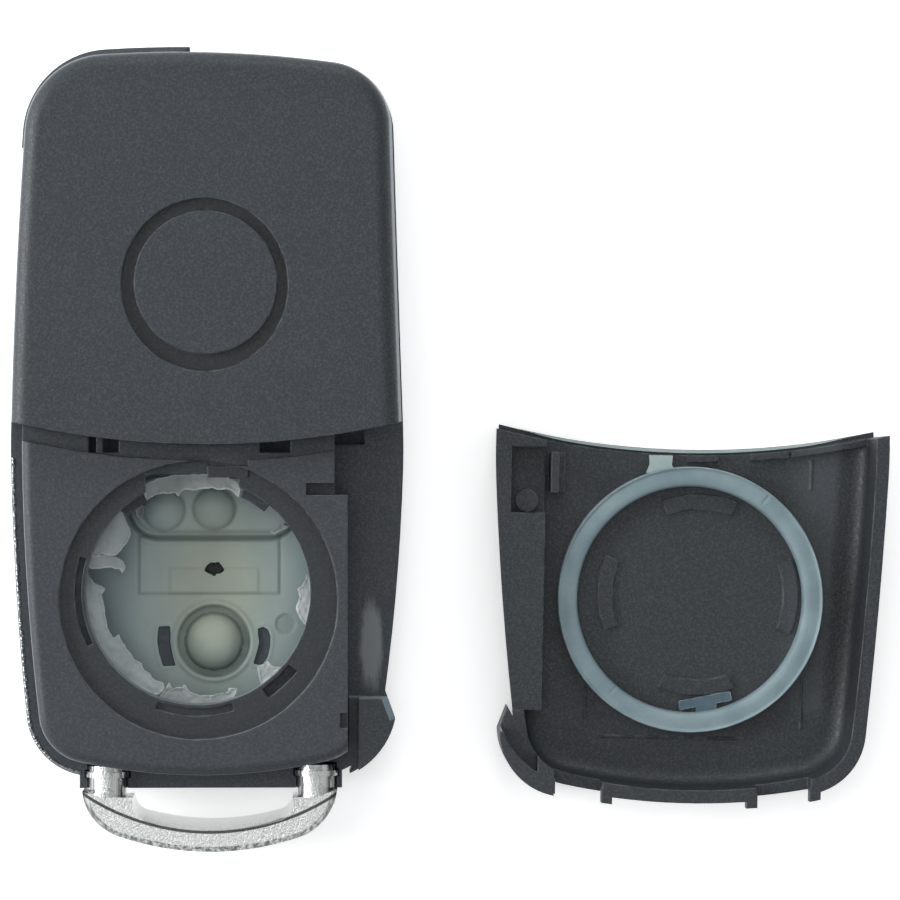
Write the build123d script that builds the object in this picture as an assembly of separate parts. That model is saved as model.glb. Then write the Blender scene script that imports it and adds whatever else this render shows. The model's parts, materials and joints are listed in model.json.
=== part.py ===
from build123d import *
import os
from math import asin, atan2, cos, degrees, hypot, radians, sin, sqrt

# A flip key fob shell with its battery cover taken off and lying beside it, inner side up.
# Everything is modelled in the fob's own place first: x = 0 is its centre line, y = 0 is the
# seam between the rear upper cover and the battery cover, z = 0 is the button side that it lies on.
# All sizes are in millimetres. Heights run from the button side up.

# Outline of the fob, seen from behind
upper_length = 35.8
lower_length = 31.3
seam_half_width = 18.0
top_left_width = 16.3
top_right_width = 16.9
upper_left_width = 17.46
upper_right_width = 17.45
lower_left_width = 17.45
lower_right_width = 17.25
bottom_left_width = 16.05
bottom_right_width = 15.3
side_middle = 0.45
seam_radius = 60.0
top_slant = 1.65
top_crown = 0.9
bottom_crown = 2.05
upper_left_radius = 7.8
upper_right_radius = 6.3
lower_corner_radius = 6.0
seam_sag = 2.25

# Thickness and walls
thickness = 15.6
parting_height = 7.2
side_wall = 1.25
front_skin = 1.5
floor_step = 1.2
rear_skin = 1.6
front_edge_radius = 2.0
rear_edge_radius = 1.5
rear_draft = 0.6
seam_gap = 0.2
part_gap = 0.1
ledge_width = 2.35

# Raised flank along the top left edge of the rear upper cover
flank_reach = 0.12
flank_shift = 0.35
flank_right = -1.5
flank_length = 9.0
flank_height = 2.4
flank_chamfer = 0.4

# Slot that the blade swings in, open at the right side and across the top
slot_low = 5.0
slot_high = 10.2
slot_top_reach = 15.4
channel_wall_x = 12.8

# Thumb bulge and raised lip round the corner at the foot of the channel
bulge_start = (16.35, 8.45)
bulge_tip = (17.15, 6.3)
bulge_curve = ((15.9, 3.5), (13.0, 1.15))
cover_bulge_curve = ((16.2, 3.2), (12.0, 0.45))
bulge_middle_draw = (-0.8, 0.6)
bulge_end_draw = (-0.5, 0.9)
lip_x = 13.8
lip_from_foot = 8.1
lip_height = 9.4
lip_wall = 2.0
lip_facet = 0.55
pocket_depth = 2.6
pocket_span = (3.9, 7.0)

# Foot of the front shell between the loop's posts
foot_lip = (-11.7, 12.3)
foot_lip_reach = 0.15
foot_lip_depth = 2.2

# Inner frame
frame_inset = 1.35
frame_wall = 1.2
frame_top = 12.8
frame_plate = 2.2
frame_foot = 5.0
frame_edge_radius = 0.9
band_width = 1.5
band_drop = 0.9
tongue_reach = 3.0
band_slots = ((-10.3, 0.7), (-8.65, 1.5), (6.2, 2.8))
edge_notch = (0.1, 3.8)
edge_notch_depth = 0.45
edge_pad_length = 1.05
edge_pad_height = 0.15
side_slot_width = 1.2
side_slot_foot = 4.6
side_recess = (3.8, 1.1)
side_recess_depth = 1.6
side_nick = (24.3, 25.7)
side_nick_width = 0.7
side_nick_depth = 1.0

# Battery well
cell_radius = 10.0
cell_clearance = 0.2
well_x = -0.8
well_from_seam = 13.4
rim_x = -0.7
rim_from_seam = 14.1
well_rim_radius = 12.6
well_rim_depth = 0.8
collar_wall = 1.2
collar_depth = 3.0
well_tooth = 0.8
well_tooth_height = 0.8
well_tooth_angles = ((119.5, 133.0), (50.5, 66.0))
well_notch = (-5.6, 2.9)
well_notch_reach = 0.6
rim_recesses = (
    (10.5, 11.1, 163.0, 206.0, 0.8),
    (10.5, 11.2, 250.0, 287.0, 0.4),
    (10.5, 11.5, 303.5, 321.6, 1.0),
)

# Keypad membrane and button caps
membrane_thickness = 0.8
membrane_width = 23.6
membrane_x = -0.9
membrane_top = 1.3
membrane_foot = 4.0
membrane_corner = 3.0
membrane_seat = 1.0
cap_recess = 0.3
cap_flange = 0.6
cap_gap = 0.12
cap_edge_radius = 0.3
cap_travel = 0.4
cap_x = 0.5
upper_cap = (15.2, 5.0)
upper_cap_y = -5.6
middle_cap = (12.6, 4.2)
middle_cap_y = -11.9
lower_cap_radius = 3.0
lower_cap_y = -18.4
key_groove = (0.05, 0.55)
key_groove_depth = 0.3
emboss_height = 0.1
emboss_outer = (-6.5, 6.4, -13.8, -8.6)
emboss_inner = (-3.6, 4.6, -13.8, -11.5)
bump_radius = 1.8
bump_height = 0.9
bump_places = (-4.1, 0.5)
dome_radius = 2.5
dome_height = 1.3
moat_radius = 3.35
moat_gap = 0.25
moat_depth = 0.35
gate_radius = 0.95
gate_y = -11.5
arc_slot_radius = 4.4
arc_slot_width = 1.4
arc_slot_half_angle = 24.0
ejector_place = (7.15, -16.3)
ejector_radius = 0.9

# Release button, flip head and pivot
pivot_from_seam = 14.55
release_radius = 5.0
release_gap = 0.12
release_recess = 0.3
release_edge_radius = 0.5
release_flange_radius = 5.6
release_flange_height = 0.35
release_stem_radius = 2.2
release_stem_top = 3.6
release_travel = 0.9
trim_width = 1.5
trim_chamfer = 0.25
head_radius = 8.4
head_gap = 0.2
head_bore_radius = 4.2
head_bore_top = 8.2
head_rear = 13.4
head_arm_reach = 15.6
head_arm_foot = 10.5
head_arm_top = 1.0
head_arm_low = 5.4
head_arm_high = 9.8
head_arm_radius = 1.0
blade_wall = 0.9
blade_width = 8.4
blade_thickness = 2.6
blade_tang = 6.5
blade_pin_radius = 0.8
stud_radius = 1.5
stud_clearance = 0.05
stud_tip = 9.2
stud_depth = 1.0
washer_radius = 3.6
washer_thickness = 0.35
stop_radius = 5.8
stop_pin_radius = 0.8
stop_groove_depth = 1.6
stop_gap = 0.15
spring_radius = 2.7
spring_wire = 0.3
spring_turns = 4.0

# Badge recess, left bare
groove_disc_radius = 6.4
groove_rx = 7.5
groove_ry = 7.8
groove_shift = 0.2
groove_depth = 0.6

# Key ring loop, its outline taken from the foot of the body
loop_reach = 5.8
loop_left_end = (-11.35, 0.3)
loop_left_bend = (-10.4, 2.7)
loop_left_foot = (-8.1, 4.35)
loop_right_foot = (8.5, 4.45)
loop_right_bend = (10.9, 2.6)
loop_right_end = (11.85, 0.1)
loop_shoulder = 0.8
loop_hole = (-6.75, 7.8)
loop_hole_depth = 3.8
loop_hole_draft = 0.65
loop_hole_sag = 0.75
loop_hole_corner = 1.5
loop_hole_corner_middle = (0.35, 0.7)
loop_height = 5.8
loop_bevel = 0.5
post_radius = 1.75
post_places = (-9.15, 9.95)
post_gap = 0.12
post_collar = 0.25
post_collar_width = 0.5

# Battery cover
cover_wall = 1.2
cover_overhang = 1.3
cover_floor_radius = 1.4
cover_edge_step = 0.5
cover_edge_skin = 1.0
cover_flare = 0.2
cover_ledge_x = 13.2
cover_ledge_low = 10.4
cover_facet = 0.7
cover_pocket = (12.8, 16.4, 6.3)
cover_pocket_depth = 2.2
cover_bump = (14.9, -5.2, 1.05)
cover_bump_drop = 1.1
cover_rib = (12.0, 12.75, 4.4)
cover_rib_step = (11.3, 4.3)
cover_rib_step_drop = 2.5
press_rib_place = (-1.35, -13.65)
press_rib_radius = 8.65
press_rib_width = 1.4
press_rib_height = 0.35
press_rib_half_angle = 22.0
edge_lip_band = (0.7, 1.3)
edge_lip_height = 0.8
edge_lip_gaps = ((-6.0, -3.0), (-9.75, -9.5))
fine_ribs = (
    (8.85, 9.05, -26.1, -22.5),
    (-11.3, -11.1, -26.0, -21.4),
    (-11.8, -11.6, -3.7, -0.9),
    (-6.0, 7.5, -27.1, -26.9),
)
fine_rib_height = 0.12
hook_width = 1.0
hook_reach = 0.6
hook_height = 1.6
hook_gap = 0.2
seal_x = -0.55
seal_inner = 10.5
seal_outer = 12.35
seal_lift = 0.2
seal_edge = 0.4
runner_width = 2.5
runner_x = 2.35
flash_thickness = 0.4
flash_bar = (-2.2, -23.55, 5.0, 0.9)
flash_bar_tilt = -12.9
flash_stem = (-3.2, -1.4)

# How the cover lies beside the fob
apart = 44.4
cover_drop = 0.3
cover_turn = -1.2

body_bottom = -lower_length
front_floor = front_skin + floor_step
skin_inside = thickness - rear_skin
well = (well_x, -well_from_seam)
rim = (rim_x, -rim_from_seam)
bore_radius = cell_radius + cell_clearance
pivot = (0.0, pivot_from_seam)
rim_ledge = frame_top - well_rim_depth
cap_flange_height = front_floor - front_skin - 2 * part_gap - cap_travel
release_flange_top = front_skin + part_gap + release_flange_height
membrane_low = front_floor
membrane_high = membrane_low + membrane_thickness
cell_floor = rim_ledge - collar_depth
lip_start = body_bottom + lip_from_foot
loop_top = parting_height + loop_height / 2
beyond = 2 * (upper_length + lower_length)
over = 2 * thickness


def block(x0, x1, y0, y1, z0, z1):
    """A box given by its six sides."""
    size = Box(x1 - x0, y1 - y0, z1 - z0)
    return Pos((x0 + x1) / 2, (y0 + y1) / 2, (z0 + z1) / 2) * size


def disc(x, y, radius, z0, z1):
    """An upright cylinder between two heights."""
    return Pos(x, y, (z0 + z1) / 2) * Cylinder(radius, z1 - z0)


def raised(face, z0, z1):
    """A flat outline drawn up between two heights."""
    return extrude(Pos(0, 0, z0) * face, z1 - z0, dir=(0, 0, 1))


def ring_sector(x, y, inner, outer, start, end, z0, z1):
    """Part of a ring between two angles, in degrees."""
    mid = (start + end) / 2
    inside = [(x + inner * cos(radians(a)), y + inner * sin(radians(a))) for a in (start, mid, end)]
    outside = [(x + outer * cos(radians(a)), y + outer * sin(radians(a))) for a in (start, mid, end)]
    edges = [
        ThreePointArc(*inside),
        Line(inside[2], outside[2]),
        ThreePointArc(*outside[::-1]),
        Line(outside[0], inside[0]),
    ]
    return raised(make_face(edges), z0, z1)


def body_face(inset=0.0, overhang=0.0, flare=0.0):
    """The fob's outline from behind, drawn in by an inset, let down by an overhang at its foot."""
    head = upper_length - inset
    foot = body_bottom - overhang + inset
    wide = seam_half_width + flare - inset
    top_left = (inset - top_left_width, head - top_crown)
    top_right = (top_right_width - inset, head - top_slant)
    foot_right = (bottom_right_width - inset, foot + bottom_crown)
    foot_left = (inset - bottom_left_width, foot + bottom_crown)
    above = side_middle * upper_length
    below = side_middle * body_bottom
    face = make_face([
        ThreePointArc(top_left, (top_left[0] / 4, head), top_right),
        ThreePointArc(top_right, (upper_right_width - inset, above), (wide, 0)),
        ThreePointArc((wide, 0), (lower_right_width - inset, below), foot_right),
        ThreePointArc(foot_right, (0, foot), foot_left),
        ThreePointArc(foot_left, (inset - lower_left_width, below), (-wide, 0)),
        ThreePointArc((-wide, 0), (inset - upper_left_width, above), top_left),
    ])
    face = fillet([v for v in face.vertices() if v.Y > above and v.X < 0], upper_left_radius - inset)
    face = fillet([v for v in face.vertices() if v.Y > above and v.X > wide / 2], upper_right_radius - inset)
    corners = [v for v in face.vertices() if v.Y < foot + bottom_crown + part_gap]
    face = fillet(corners, lower_corner_radius - inset)
    return fillet([v for v in face.vertices() if abs(v.Y) < part_gap], seam_radius)


def bulge_face(inset=0.0, overhang=0.0, curve=bulge_curve):
    """The thumb bulge outside the body's lower right corner, drawn in by an inset."""
    foot = body_bottom - overhang
    (middle_x, middle_y), (end_x, end_y) = curve
    start = (bulge_start[0] - inset, foot + bulge_start[1])
    tip = (bulge_tip[0] - inset, foot + bulge_tip[1])
    middle = (middle_x + bulge_middle_draw[0] * inset, foot + middle_y + bulge_middle_draw[1] * inset)
    end = (end_x + bulge_end_draw[0] * inset, foot + end_y + bulge_end_draw[1] * inset)
    return make_face([Line(start, tip), ThreePointArc(tip, middle, end), Line(end, start)])


def facet_cutter(overhang, height, size):
    """A long diamond bar laid on the flare's edge, which cuts a sloping facet there."""
    start_x, start_y = bulge_start
    tip_x, tip_y = bulge_tip
    run = tip_x - start_x
    rise = start_y - tip_y
    foot = body_bottom - overhang
    place = Pos((start_x + tip_x) / 2, foot + (start_y + tip_y) / 2, height)
    side = size * sqrt(2)
    return place * Rot(0, 0, degrees(atan2(-rise, run))) * Rot(45, 0, 0) * Box(hypot(rise, run), side, side)


def foot_at(x):
    """The height of the body's foot line at a place across it."""
    return body_bottom + bottom_crown * (x / bottom_left_width) ** 2


def above_seam(shift=0.0):
    """Everything on the blade side of the seam, as a tall cutter."""
    wide = 2 * seam_half_width
    rise = seam_sag * (wide / seam_half_width) ** 2
    edges = [
        ThreePointArc((-wide, rise + shift), (0, shift), (wide, rise + shift)),
        Line((wide, rise + shift), (wide, beyond)),
        Line((wide, beyond), (-wide, beyond)),
        Line((-wide, beyond), (-wide, rise + shift)),
    ]
    return raised(make_face(edges), -over, over)


def swing_slot(z0, z1):
    """The space at the right side and across the top that the blade swings through."""
    side = block(channel_wall_x, beyond, lip_start, beyond, z0, z1)
    top = block(-slot_top_reach, beyond, upper_length - upper_left_radius, beyond, z0, z1)
    return side + top


def rear_blank(low, overhang=0.0, flare=0.0):
    """The solid of the rear half, drawn in a little towards its rounded rear edge."""
    rear = body_face(rear_draft, overhang, flare)
    blank = loft([Pos(0, 0, low) * body_face(0, overhang, flare), Pos(0, 0, thickness) * rear], ruled=True)
    return fillet(blank.faces().sort_by(Axis.Z)[-1].edges(), rear_edge_radius)


def keypad_outline(inset):
    """The membrane's rounded outline, drawn in by an inset."""
    top = -membrane_top - inset
    foot = body_bottom + membrane_foot + inset
    face = RectangleRounded(membrane_width - 2 * inset, top - foot, membrane_corner)
    return Pos(membrane_x, (top + foot) / 2) * face


def cap_outlines(grow):
    """The outlines of the three button caps, grown by a gap or a flange."""
    upper = SlotOverall(upper_cap[0] + 2 * grow, upper_cap[1] + 2 * grow)
    corner = middle_cap[1] / 4 + grow
    middle = RectangleRounded(middle_cap[0] + 2 * grow, middle_cap[1] + 2 * grow, corner)
    return {
        "upper_button": Pos(cap_x, upper_cap_y) * upper,
        "middle_button": Pos(cap_x, middle_cap_y) * middle,
        "lower_button": Pos(cap_x, lower_cap_y) * Circle(lower_cap_radius + grow),
    }


def corner_lip():
    """The raised lip round the corner at the foot of the blade channel, with its facet and pocket."""
    low = slot_low - floor_step
    corner = block(lip_x, beyond, -beyond, lip_start, low, lip_height)
    lip = raised(body_face(), low, lip_height) & corner
    lip += raised(bulge_face(), low, lip_height) & corner
    lip -= facet_cutter(0, lip_height, lip_facet)
    near, far = pocket_span
    pocket = raised(body_face(lip_wall), lip_height - pocket_depth, over)
    return lip - (pocket & block(lip_x, beyond, body_bottom + near, body_bottom + far, 0, over))


def front_shell():
    """The button side shell: skin, walls, blade bed, membrane seat and the holes for the caps."""
    shell = raised(body_face(), 0, parting_height)
    shell = fillet(shell.faces().sort_by(Axis.Z)[0].edges(), front_edge_radius)
    shell += raised(bulge_face(), front_edge_radius, parting_height)
    shell += block(*foot_lip, body_bottom - foot_lip_reach, body_bottom + foot_lip_depth,
                   front_edge_radius, parting_height)
    head_bay = block(-beyond, beyond, 0, beyond, 0, over)
    board_bay = block(-beyond, channel_wall_x - frame_wall - part_gap, -beyond, 0, 0, frame_foot)
    frame_bay = block(-beyond, channel_wall_x + part_gap, -beyond, 0, frame_foot, over)
    shell -= raised(body_face(side_wall + ledge_width), front_floor, frame_foot) & (head_bay + board_bay)
    shell -= raised(body_face(side_wall), frame_foot, over) & (head_bay + frame_bay)
    shell -= swing_slot(slot_low, over)
    shell += corner_lip()
    shell -= raised(keypad_outline(membrane_seat), front_skin, over)
    for outline in cap_outlines(cap_gap).values():
        shell -= raised(outline, -over, over)
    shell -= disc(*pivot, release_radius + trim_width + release_gap, -over, front_skin)
    shell -= disc(*pivot, release_flange_radius + release_gap, -over, over)
    return shell - loop_seat(-over, over)


def loop_seat(z0, z1):
    """The round seats for the loop's posts and their collars, as a cutter."""
    seats = None
    for x in post_places:
        along = Pos(x, body_bottom, parting_height) * Rot(90, 0, 0)
        post = along * Cylinder(post_radius + post_gap, 2 * foot_lip_depth)
        collar = Pos(x, foot_at(x) + side_wall / 2 - foot_lip_reach, parting_height) * Rot(90, 0, 0)
        collar = collar * Cylinder(post_radius + post_collar + post_gap, post_collar_width + 2 * post_gap)
        seats = post + collar if seats is None else seats + post + collar
    return seats & block(-beyond, beyond, -beyond, 0, z0, z1)


def rear_upper_cover():
    """The rear half over the flip head, with the bare badge recess and the pivot's boss."""
    cover = rear_blank(parting_height)
    flank = raised(Pos(flank_shift, 0) * body_face(-flank_reach), slot_high, slot_high + flank_height)
    flank = flank & block(-beyond, flank_right, upper_length - flank_length, beyond, 0, over)
    cover += chamfer(flank.faces().sort_by(Axis.Z)[-1].edges(), flank_chamfer)
    cover -= raised(body_face(side_wall), 0, skin_inside)
    cover = cover & above_seam()
    cover -= swing_slot(0, slot_high)
    x, y = pivot
    groove = raised(Pos(x - groove_shift / 2, y - groove_shift) * Ellipse(groove_rx, groove_ry),
                    thickness - groove_depth, over)
    groove -= disc(x, y, groove_disc_radius, 0, over)
    cover -= groove
    cover -= disc(x, y, stud_radius, skin_inside - rear_skin, skin_inside + stud_depth)
    return cover - disc(*stop_place(), stop_pin_radius, skin_inside - rear_skin, skin_inside + stud_depth)


def stop_place():
    """Where the stop pin stands, above the pivot at the end of the head's groove."""
    return pivot[0], pivot[1] + stop_radius


def pivot_stud():
    """The steel stud that the flip head turns on, pressed into the rear cover."""
    return disc(*pivot, stud_radius, stud_tip, skin_inside + stud_depth)


def head_stop_pin():
    """The pin that ends the head's half turn."""
    low = head_rear - stop_groove_depth + stop_gap
    return disc(*stop_place(), stop_pin_radius, low, skin_inside + stud_depth)


def head_washer():
    """The slip washer between the head and the rear cover."""
    washer = disc(*pivot, washer_radius, skin_inside - washer_thickness, skin_inside)
    return washer - disc(*pivot, stud_radius + stud_clearance, 0, over)


def flip_head():
    """The turning head with the arm that the blade's tang slides into."""
    x, y = pivot
    head = disc(x, y, head_radius, front_floor + head_gap, head_rear)
    arm = block(x, x + head_arm_reach, y - head_arm_foot, y + head_arm_top, head_arm_low, head_arm_high)
    arm = fillet(arm.edges().filter_by(Axis.Z).sort_by(Axis.X)[2:], head_arm_radius)
    head += arm
    middle = (head_arm_low + head_arm_high) / 2
    slot_right = x + head_arm_reach - blade_wall
    slot_foot = y - head_arm_foot
    head -= block(slot_right - blade_width, slot_right, slot_foot - blade_tang, slot_foot + blade_tang,
                  middle - blade_thickness / 2, middle + blade_thickness / 2)
    pin_x = slot_right - blade_width / 2
    head -= disc(pin_x, slot_foot + blade_tang / 2, blade_pin_radius, 0, over)
    head -= disc(x, y, head_bore_radius, 0, head_bore_top)
    head -= disc(x, y, stud_radius + stud_clearance, 0, over)
    spread = degrees(asin((stop_pin_radius + stop_gap) / stop_radius))
    inner = stop_radius - stop_pin_radius - stop_gap
    outer = stop_radius + stop_pin_radius + stop_gap
    groove_low = head_rear - stop_groove_depth
    return head - ring_sector(x, y, inner, outer, -90 - spread, 90 + spread, groove_low, over)


def release_button():
    """The round button that frees the head, with its flange and stem."""
    x, y = pivot
    flange_low = front_skin + part_gap
    button = disc(x, y, release_radius, release_recess, release_flange_top)
    button = fillet(button.faces().sort_by(Axis.Z)[0].edges(), release_edge_radius)
    button += disc(x, y, release_flange_radius, flange_low, release_flange_top)
    return button + disc(x, y, release_stem_radius, flange_low, release_stem_top)


def release_trim_ring():
    """The bright ring let into the front skin round the release button."""
    ring = disc(*pivot, release_radius + trim_width, part_gap, front_skin)
    ring -= disc(*pivot, release_radius + release_gap, 0, over)
    return chamfer(ring.faces().sort_by(Axis.Z)[0].edges(), trim_chamfer)


def release_spring():
    """The coil spring round the button's stem, between its flange and the head."""
    low = release_flange_top + spring_wire
    height = head_bore_top - release_flange_top - 2 * spring_wire
    path = Helix(height / spring_turns, height, spring_radius)
    section = Plane(origin=path @ 0, z_dir=path % 0) * Circle(spring_wire)
    coil = sweep(section, path=path, is_frenet=True)
    return Pos(pivot[0], pivot[1], low) * coil


def frame_face(inset=0.0):
    """The inner frame's outline: the fob's outline drawn in and cut off at the channel."""
    limit = channel_wall_x - inset
    window = Pos(limit - beyond / 2, tongue_reach - inset - beyond / 2) * Rectangle(beyond, beyond)
    return body_face(frame_inset + inset) & window


def well_cutter():
    """The stepped battery well with its notch and rim recesses, as a cutter."""
    x, y = well
    hole = disc(x, y, bore_radius, 0, over)
    left, right = well_notch
    notch_top = y + bore_radius + well_notch_reach
    hole += block(left, right, notch_top - 3 * well_notch_reach, notch_top, 0, over)
    for inner, outer, start, end, depth in rim_recesses:
        hole += ring_sector(x, y, inner, outer, start, end, rim_ledge - depth, over)
    return hole + disc(*rim, well_rim_radius, rim_ledge, over)


def inner_frame():
    """The frame that carries the coin cell: plate, box walls, collar and the stepped well."""
    frame = raised(frame_face(), frame_foot, frame_top)
    rounded = [e for e in frame.edges().filter_by_position(Axis.Z, frame_top, frame_top)
               if e.center().X < channel_wall_x - frame_edge_radius / 2 and e.center().Y < 0]
    frame = fillet(rounded, frame_edge_radius)
    frame -= raised(frame_face(frame_wall), 0, frame_top - frame_plate)
    band = above_seam(-band_width)
    band_low = frame_top - band_drop
    frame -= band & block(-beyond, beyond, -beyond, beyond, band_low, over)
    frame -= above_seam(tongue_reach - 2 * band_width) & block(-beyond, beyond, -beyond, beyond, 0, over)
    frame -= band & block(-beyond, beyond, -beyond, beyond, 0, frame_top - frame_plate)
    for x, width in band_slots:
        frame -= block(x - width / 2, x + width / 2, -band_width / 2, tongue_reach, 0, over)
    x, y = well
    frame += disc(x, y, bore_radius + collar_wall, cell_floor, rim_ledge)
    frame -= well_cutter()
    for start, end in well_tooth_angles:
        frame += ring_sector(x, y, bore_radius - well_tooth, bore_radius + collar_wall, start, end,
                             cell_floor - well_tooth_height, cell_floor)
    left, right = edge_notch
    notch_foot = -band_width - edge_notch_depth
    frame -= block(left, right, notch_foot, 0, band_low, over)
    frame += block(left, right, notch_foot - edge_pad_length, notch_foot, rim_ledge,
                   rim_ledge + edge_pad_height)
    slot_x = channel_wall_x - side_slot_width
    frame -= block(slot_x, beyond, -side_slot_foot, beyond, 0, over)
    length, height = side_recess
    frame -= block(slot_x - length + side_slot_width, slot_x, -side_slot_foot, height - side_slot_foot,
                   frame_top - side_recess_depth, over)
    near, far = side_nick
    nick_low = frame_top - side_nick_depth
    return frame - block(channel_wall_x - side_nick_width, beyond, -far, -near, nick_low, over)


def keypad_membrane():
    """The soft membrane behind the caps, with its grooves, embossed plates, bumps, dome and slots."""
    room = body_face(side_wall + ledge_width + part_gap)
    sheet = raised(keypad_outline(part_gap) & room, membrane_low, membrane_high)
    groove = cap_outlines(key_groove[1])["upper_button"] - cap_outlines(key_groove[0])["upper_button"]
    sheet -= raised(groove, membrane_high - key_groove_depth, over)
    sheet += block(*emboss_outer, membrane_low, membrane_high + emboss_height)
    sheet += block(*emboss_inner, membrane_low, membrane_high + 2 * emboss_height)
    upper = block(-beyond, beyond, -beyond, 0, membrane_high - key_groove_depth, membrane_high + bump_height)
    for x in bump_places:
        sheet += Pos(x, upper_cap_y, membrane_high) * Sphere(bump_radius) & upper
    moat = disc(cap_x, lower_cap_y, moat_radius, membrane_high - moat_depth, over)
    sheet -= moat - disc(cap_x, lower_cap_y, dome_radius + moat_gap, 0, over)
    dome = Pos(cap_x, lower_cap_y, membrane_high - dome_radius + dome_height) * Sphere(dome_radius)
    sheet += dome & block(-beyond, beyond, -beyond, 0, membrane_high - moat_depth, over)
    sheet -= disc(cap_x, gate_y, gate_radius, 0, over) & block(-beyond, beyond, gate_y, 0, 0, over)
    for middle in (0, 180):
        start = middle - arc_slot_half_angle
        end = middle + arc_slot_half_angle
        inner = arc_slot_radius - arc_slot_width / 2
        sheet -= ring_sector(cap_x, lower_cap_y, inner, inner + arc_slot_width, start, end, 0, over)
    return sheet - disc(*ejector_place, ejector_radius, membrane_high - emboss_height, over)


def button_cap(outline, flange):
    """One hard cap: its face through the skin and the flange that keeps it in."""
    flange_top = front_skin + part_gap + cap_flange_height
    cap = raised(outline, cap_recess, flange_top)
    cap = fillet(cap.faces().sort_by(Axis.Z)[0].edges(), cap_edge_radius)
    return cap + raised(flange, front_skin + part_gap, flange_top)


def loop_point(place):
    """A point of the loop given across the fob and down from the body's foot."""
    return place[0], body_bottom - place[1]


def loop_hole_face(depth):
    """The opening of the loop, rounded below, as a flat outline."""
    left, right = loop_hole
    side = depth - loop_hole_sag - loop_hole_corner
    foot = side + loop_hole_corner
    turn_x, turn_y = (part * loop_hole_corner for part in loop_hole_corner_middle)
    left_side = loop_point((left, side))
    left_turn = loop_point((left + turn_x, side + turn_y))
    left_foot = loop_point((left + loop_hole_corner, foot))
    lowest = loop_point(((left + right) / 2, depth))
    right_foot = loop_point((right - loop_hole_corner, foot))
    right_turn = loop_point((right - turn_x, side + turn_y))
    right_side = loop_point((right, side))
    return make_face([
        Line((left, 0), left_side),
        ThreePointArc(left_side, left_turn, left_foot),
        ThreePointArc(left_foot, lowest, right_foot),
        ThreePointArc(right_foot, right_turn, right_side),
        Line(right_side, (right, 0)),
        Line((right, 0), (left, 0)),
    ])


def key_ring_loop():
    """The cast loop: a flat bevelled bow on two round posts with collars."""
    low = parting_height - loop_height / 2
    shoulder = body_bottom - loop_shoulder
    bow = make_face([
        ThreePointArc(loop_point(loop_left_end), loop_point(loop_left_bend), loop_point(loop_left_foot)),
        ThreePointArc(loop_point(loop_left_foot), loop_point((0, loop_reach)), loop_point(loop_right_foot)),
        ThreePointArc(loop_point(loop_right_foot), loop_point(loop_right_bend), loop_point(loop_right_end)),
        Line(loop_point(loop_right_end), (post_places[1], shoulder)),
        Line((post_places[1], shoulder), (post_places[0], shoulder)),
        Line((post_places[0], shoulder), loop_point(loop_left_end)),
    ])
    loop = raised(bow, low, loop_top)
    outer = [e for e in loop.edges().filter_by(Axis.Z, reverse=True)
             if e.center().Y < body_bottom - loop_shoulder - loop_bevel]
    loop = chamfer(outer, loop_bevel)
    rear_hole = Pos(0, 0, loop_top) * loop_hole_face(loop_hole_depth)
    front_hole = Pos(0, 0, low) * loop_hole_face(loop_hole_depth - loop_hole_draft)
    loop -= loft([front_hole, rear_hole], ruled=True)
    for x in post_places:
        inner_end = foot_at(x) + side_wall
        length = inner_end - shoulder + loop_shoulder
        across = Pos(x, inner_end - length / 2, parting_height) * Rot(90, 0, 0)
        collar = Pos(x, foot_at(x) + side_wall / 2 - foot_lip_reach, parting_height) * Rot(90, 0, 0)
        loop += across * Cylinder(post_radius, length)
        loop += collar * Cylinder(post_radius + post_collar, post_collar_width)
    return loop


def lip_room():
    """Room in the cover for the front shell's corner lip."""
    top = lip_height + part_gap
    corner = block(lip_x - 2 * part_gap, beyond, -beyond, lip_start + 2 * part_gap, 0, top)
    room = raised(body_face(-part_gap), 0, top) & corner
    return room + (raised(bulge_face(-part_gap), 0, top) & corner)


def battery_cover():
    """The battery cover as it seats on the fob: skin, walls, channel ledge, ribs, lip and hooks."""
    low = parting_height + part_gap
    cover = rear_blank(low, cover_overhang, cover_flare)
    cover += raised(bulge_face(0, cover_overhang, cover_bulge_curve), low, skin_inside)
    cover -= facet_cutter(cover_overhang, low, cover_facet)
    inside = raised(body_face(cover_wall, cover_overhang, cover_flare), 0, skin_inside)
    inside = fillet(inside.faces().sort_by(Axis.Z)[-1].edges(), cover_floor_radius)
    ledge_foot = lip_start - cover_overhang
    cover -= inside - block(cover_ledge_x, beyond, ledge_foot, beyond, cover_ledge_low, over)
    cover -= block(cover_ledge_x - cover_wall, beyond, ledge_foot, beyond, 0, cover_ledge_low)
    cover -= above_seam(-seam_gap)
    cover -= above_seam(-seam_gap - cover_edge_step) & block(-beyond, beyond, -beyond, beyond, 0,
                                                            thickness - cover_edge_skin)
    left, right, length = cover_pocket
    pocket_floor = cover_ledge_low + cover_pocket_depth
    cover -= block(left, right, -length, -seam_gap, 0, pocket_floor)
    bump_x, bump_y, bump = cover_bump
    cover += disc(bump_x, bump_y, bump, pocket_floor - cover_bump_drop, pocket_floor)
    left, right, length = cover_rib
    rib_top = -seam_gap - cover_edge_step
    cover += block(left, right, -length, rib_top, cover_ledge_low, skin_inside)
    step_left, step_length = cover_rib_step
    cover += block(step_left, left, -step_length, rib_top, cover_ledge_low + cover_rib_step_drop, skin_inside)
    for x0, x1, y0, y1 in fine_ribs:
        cover += block(x0, x1, y0, y1, skin_inside - fine_rib_height, skin_inside)
    for middle in (0, 90, 180, 270):
        start = middle - press_rib_half_angle
        end = middle + press_rib_half_angle
        inner = press_rib_radius - press_rib_width / 2
        rib_low = skin_inside - press_rib_height
        cover += ring_sector(*press_rib_place, inner, inner + press_rib_width, start, end,
                             rib_low, skin_inside)
    cover += edge_lip()
    cover -= lip_room()
    return with_hooks(cover)


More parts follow.
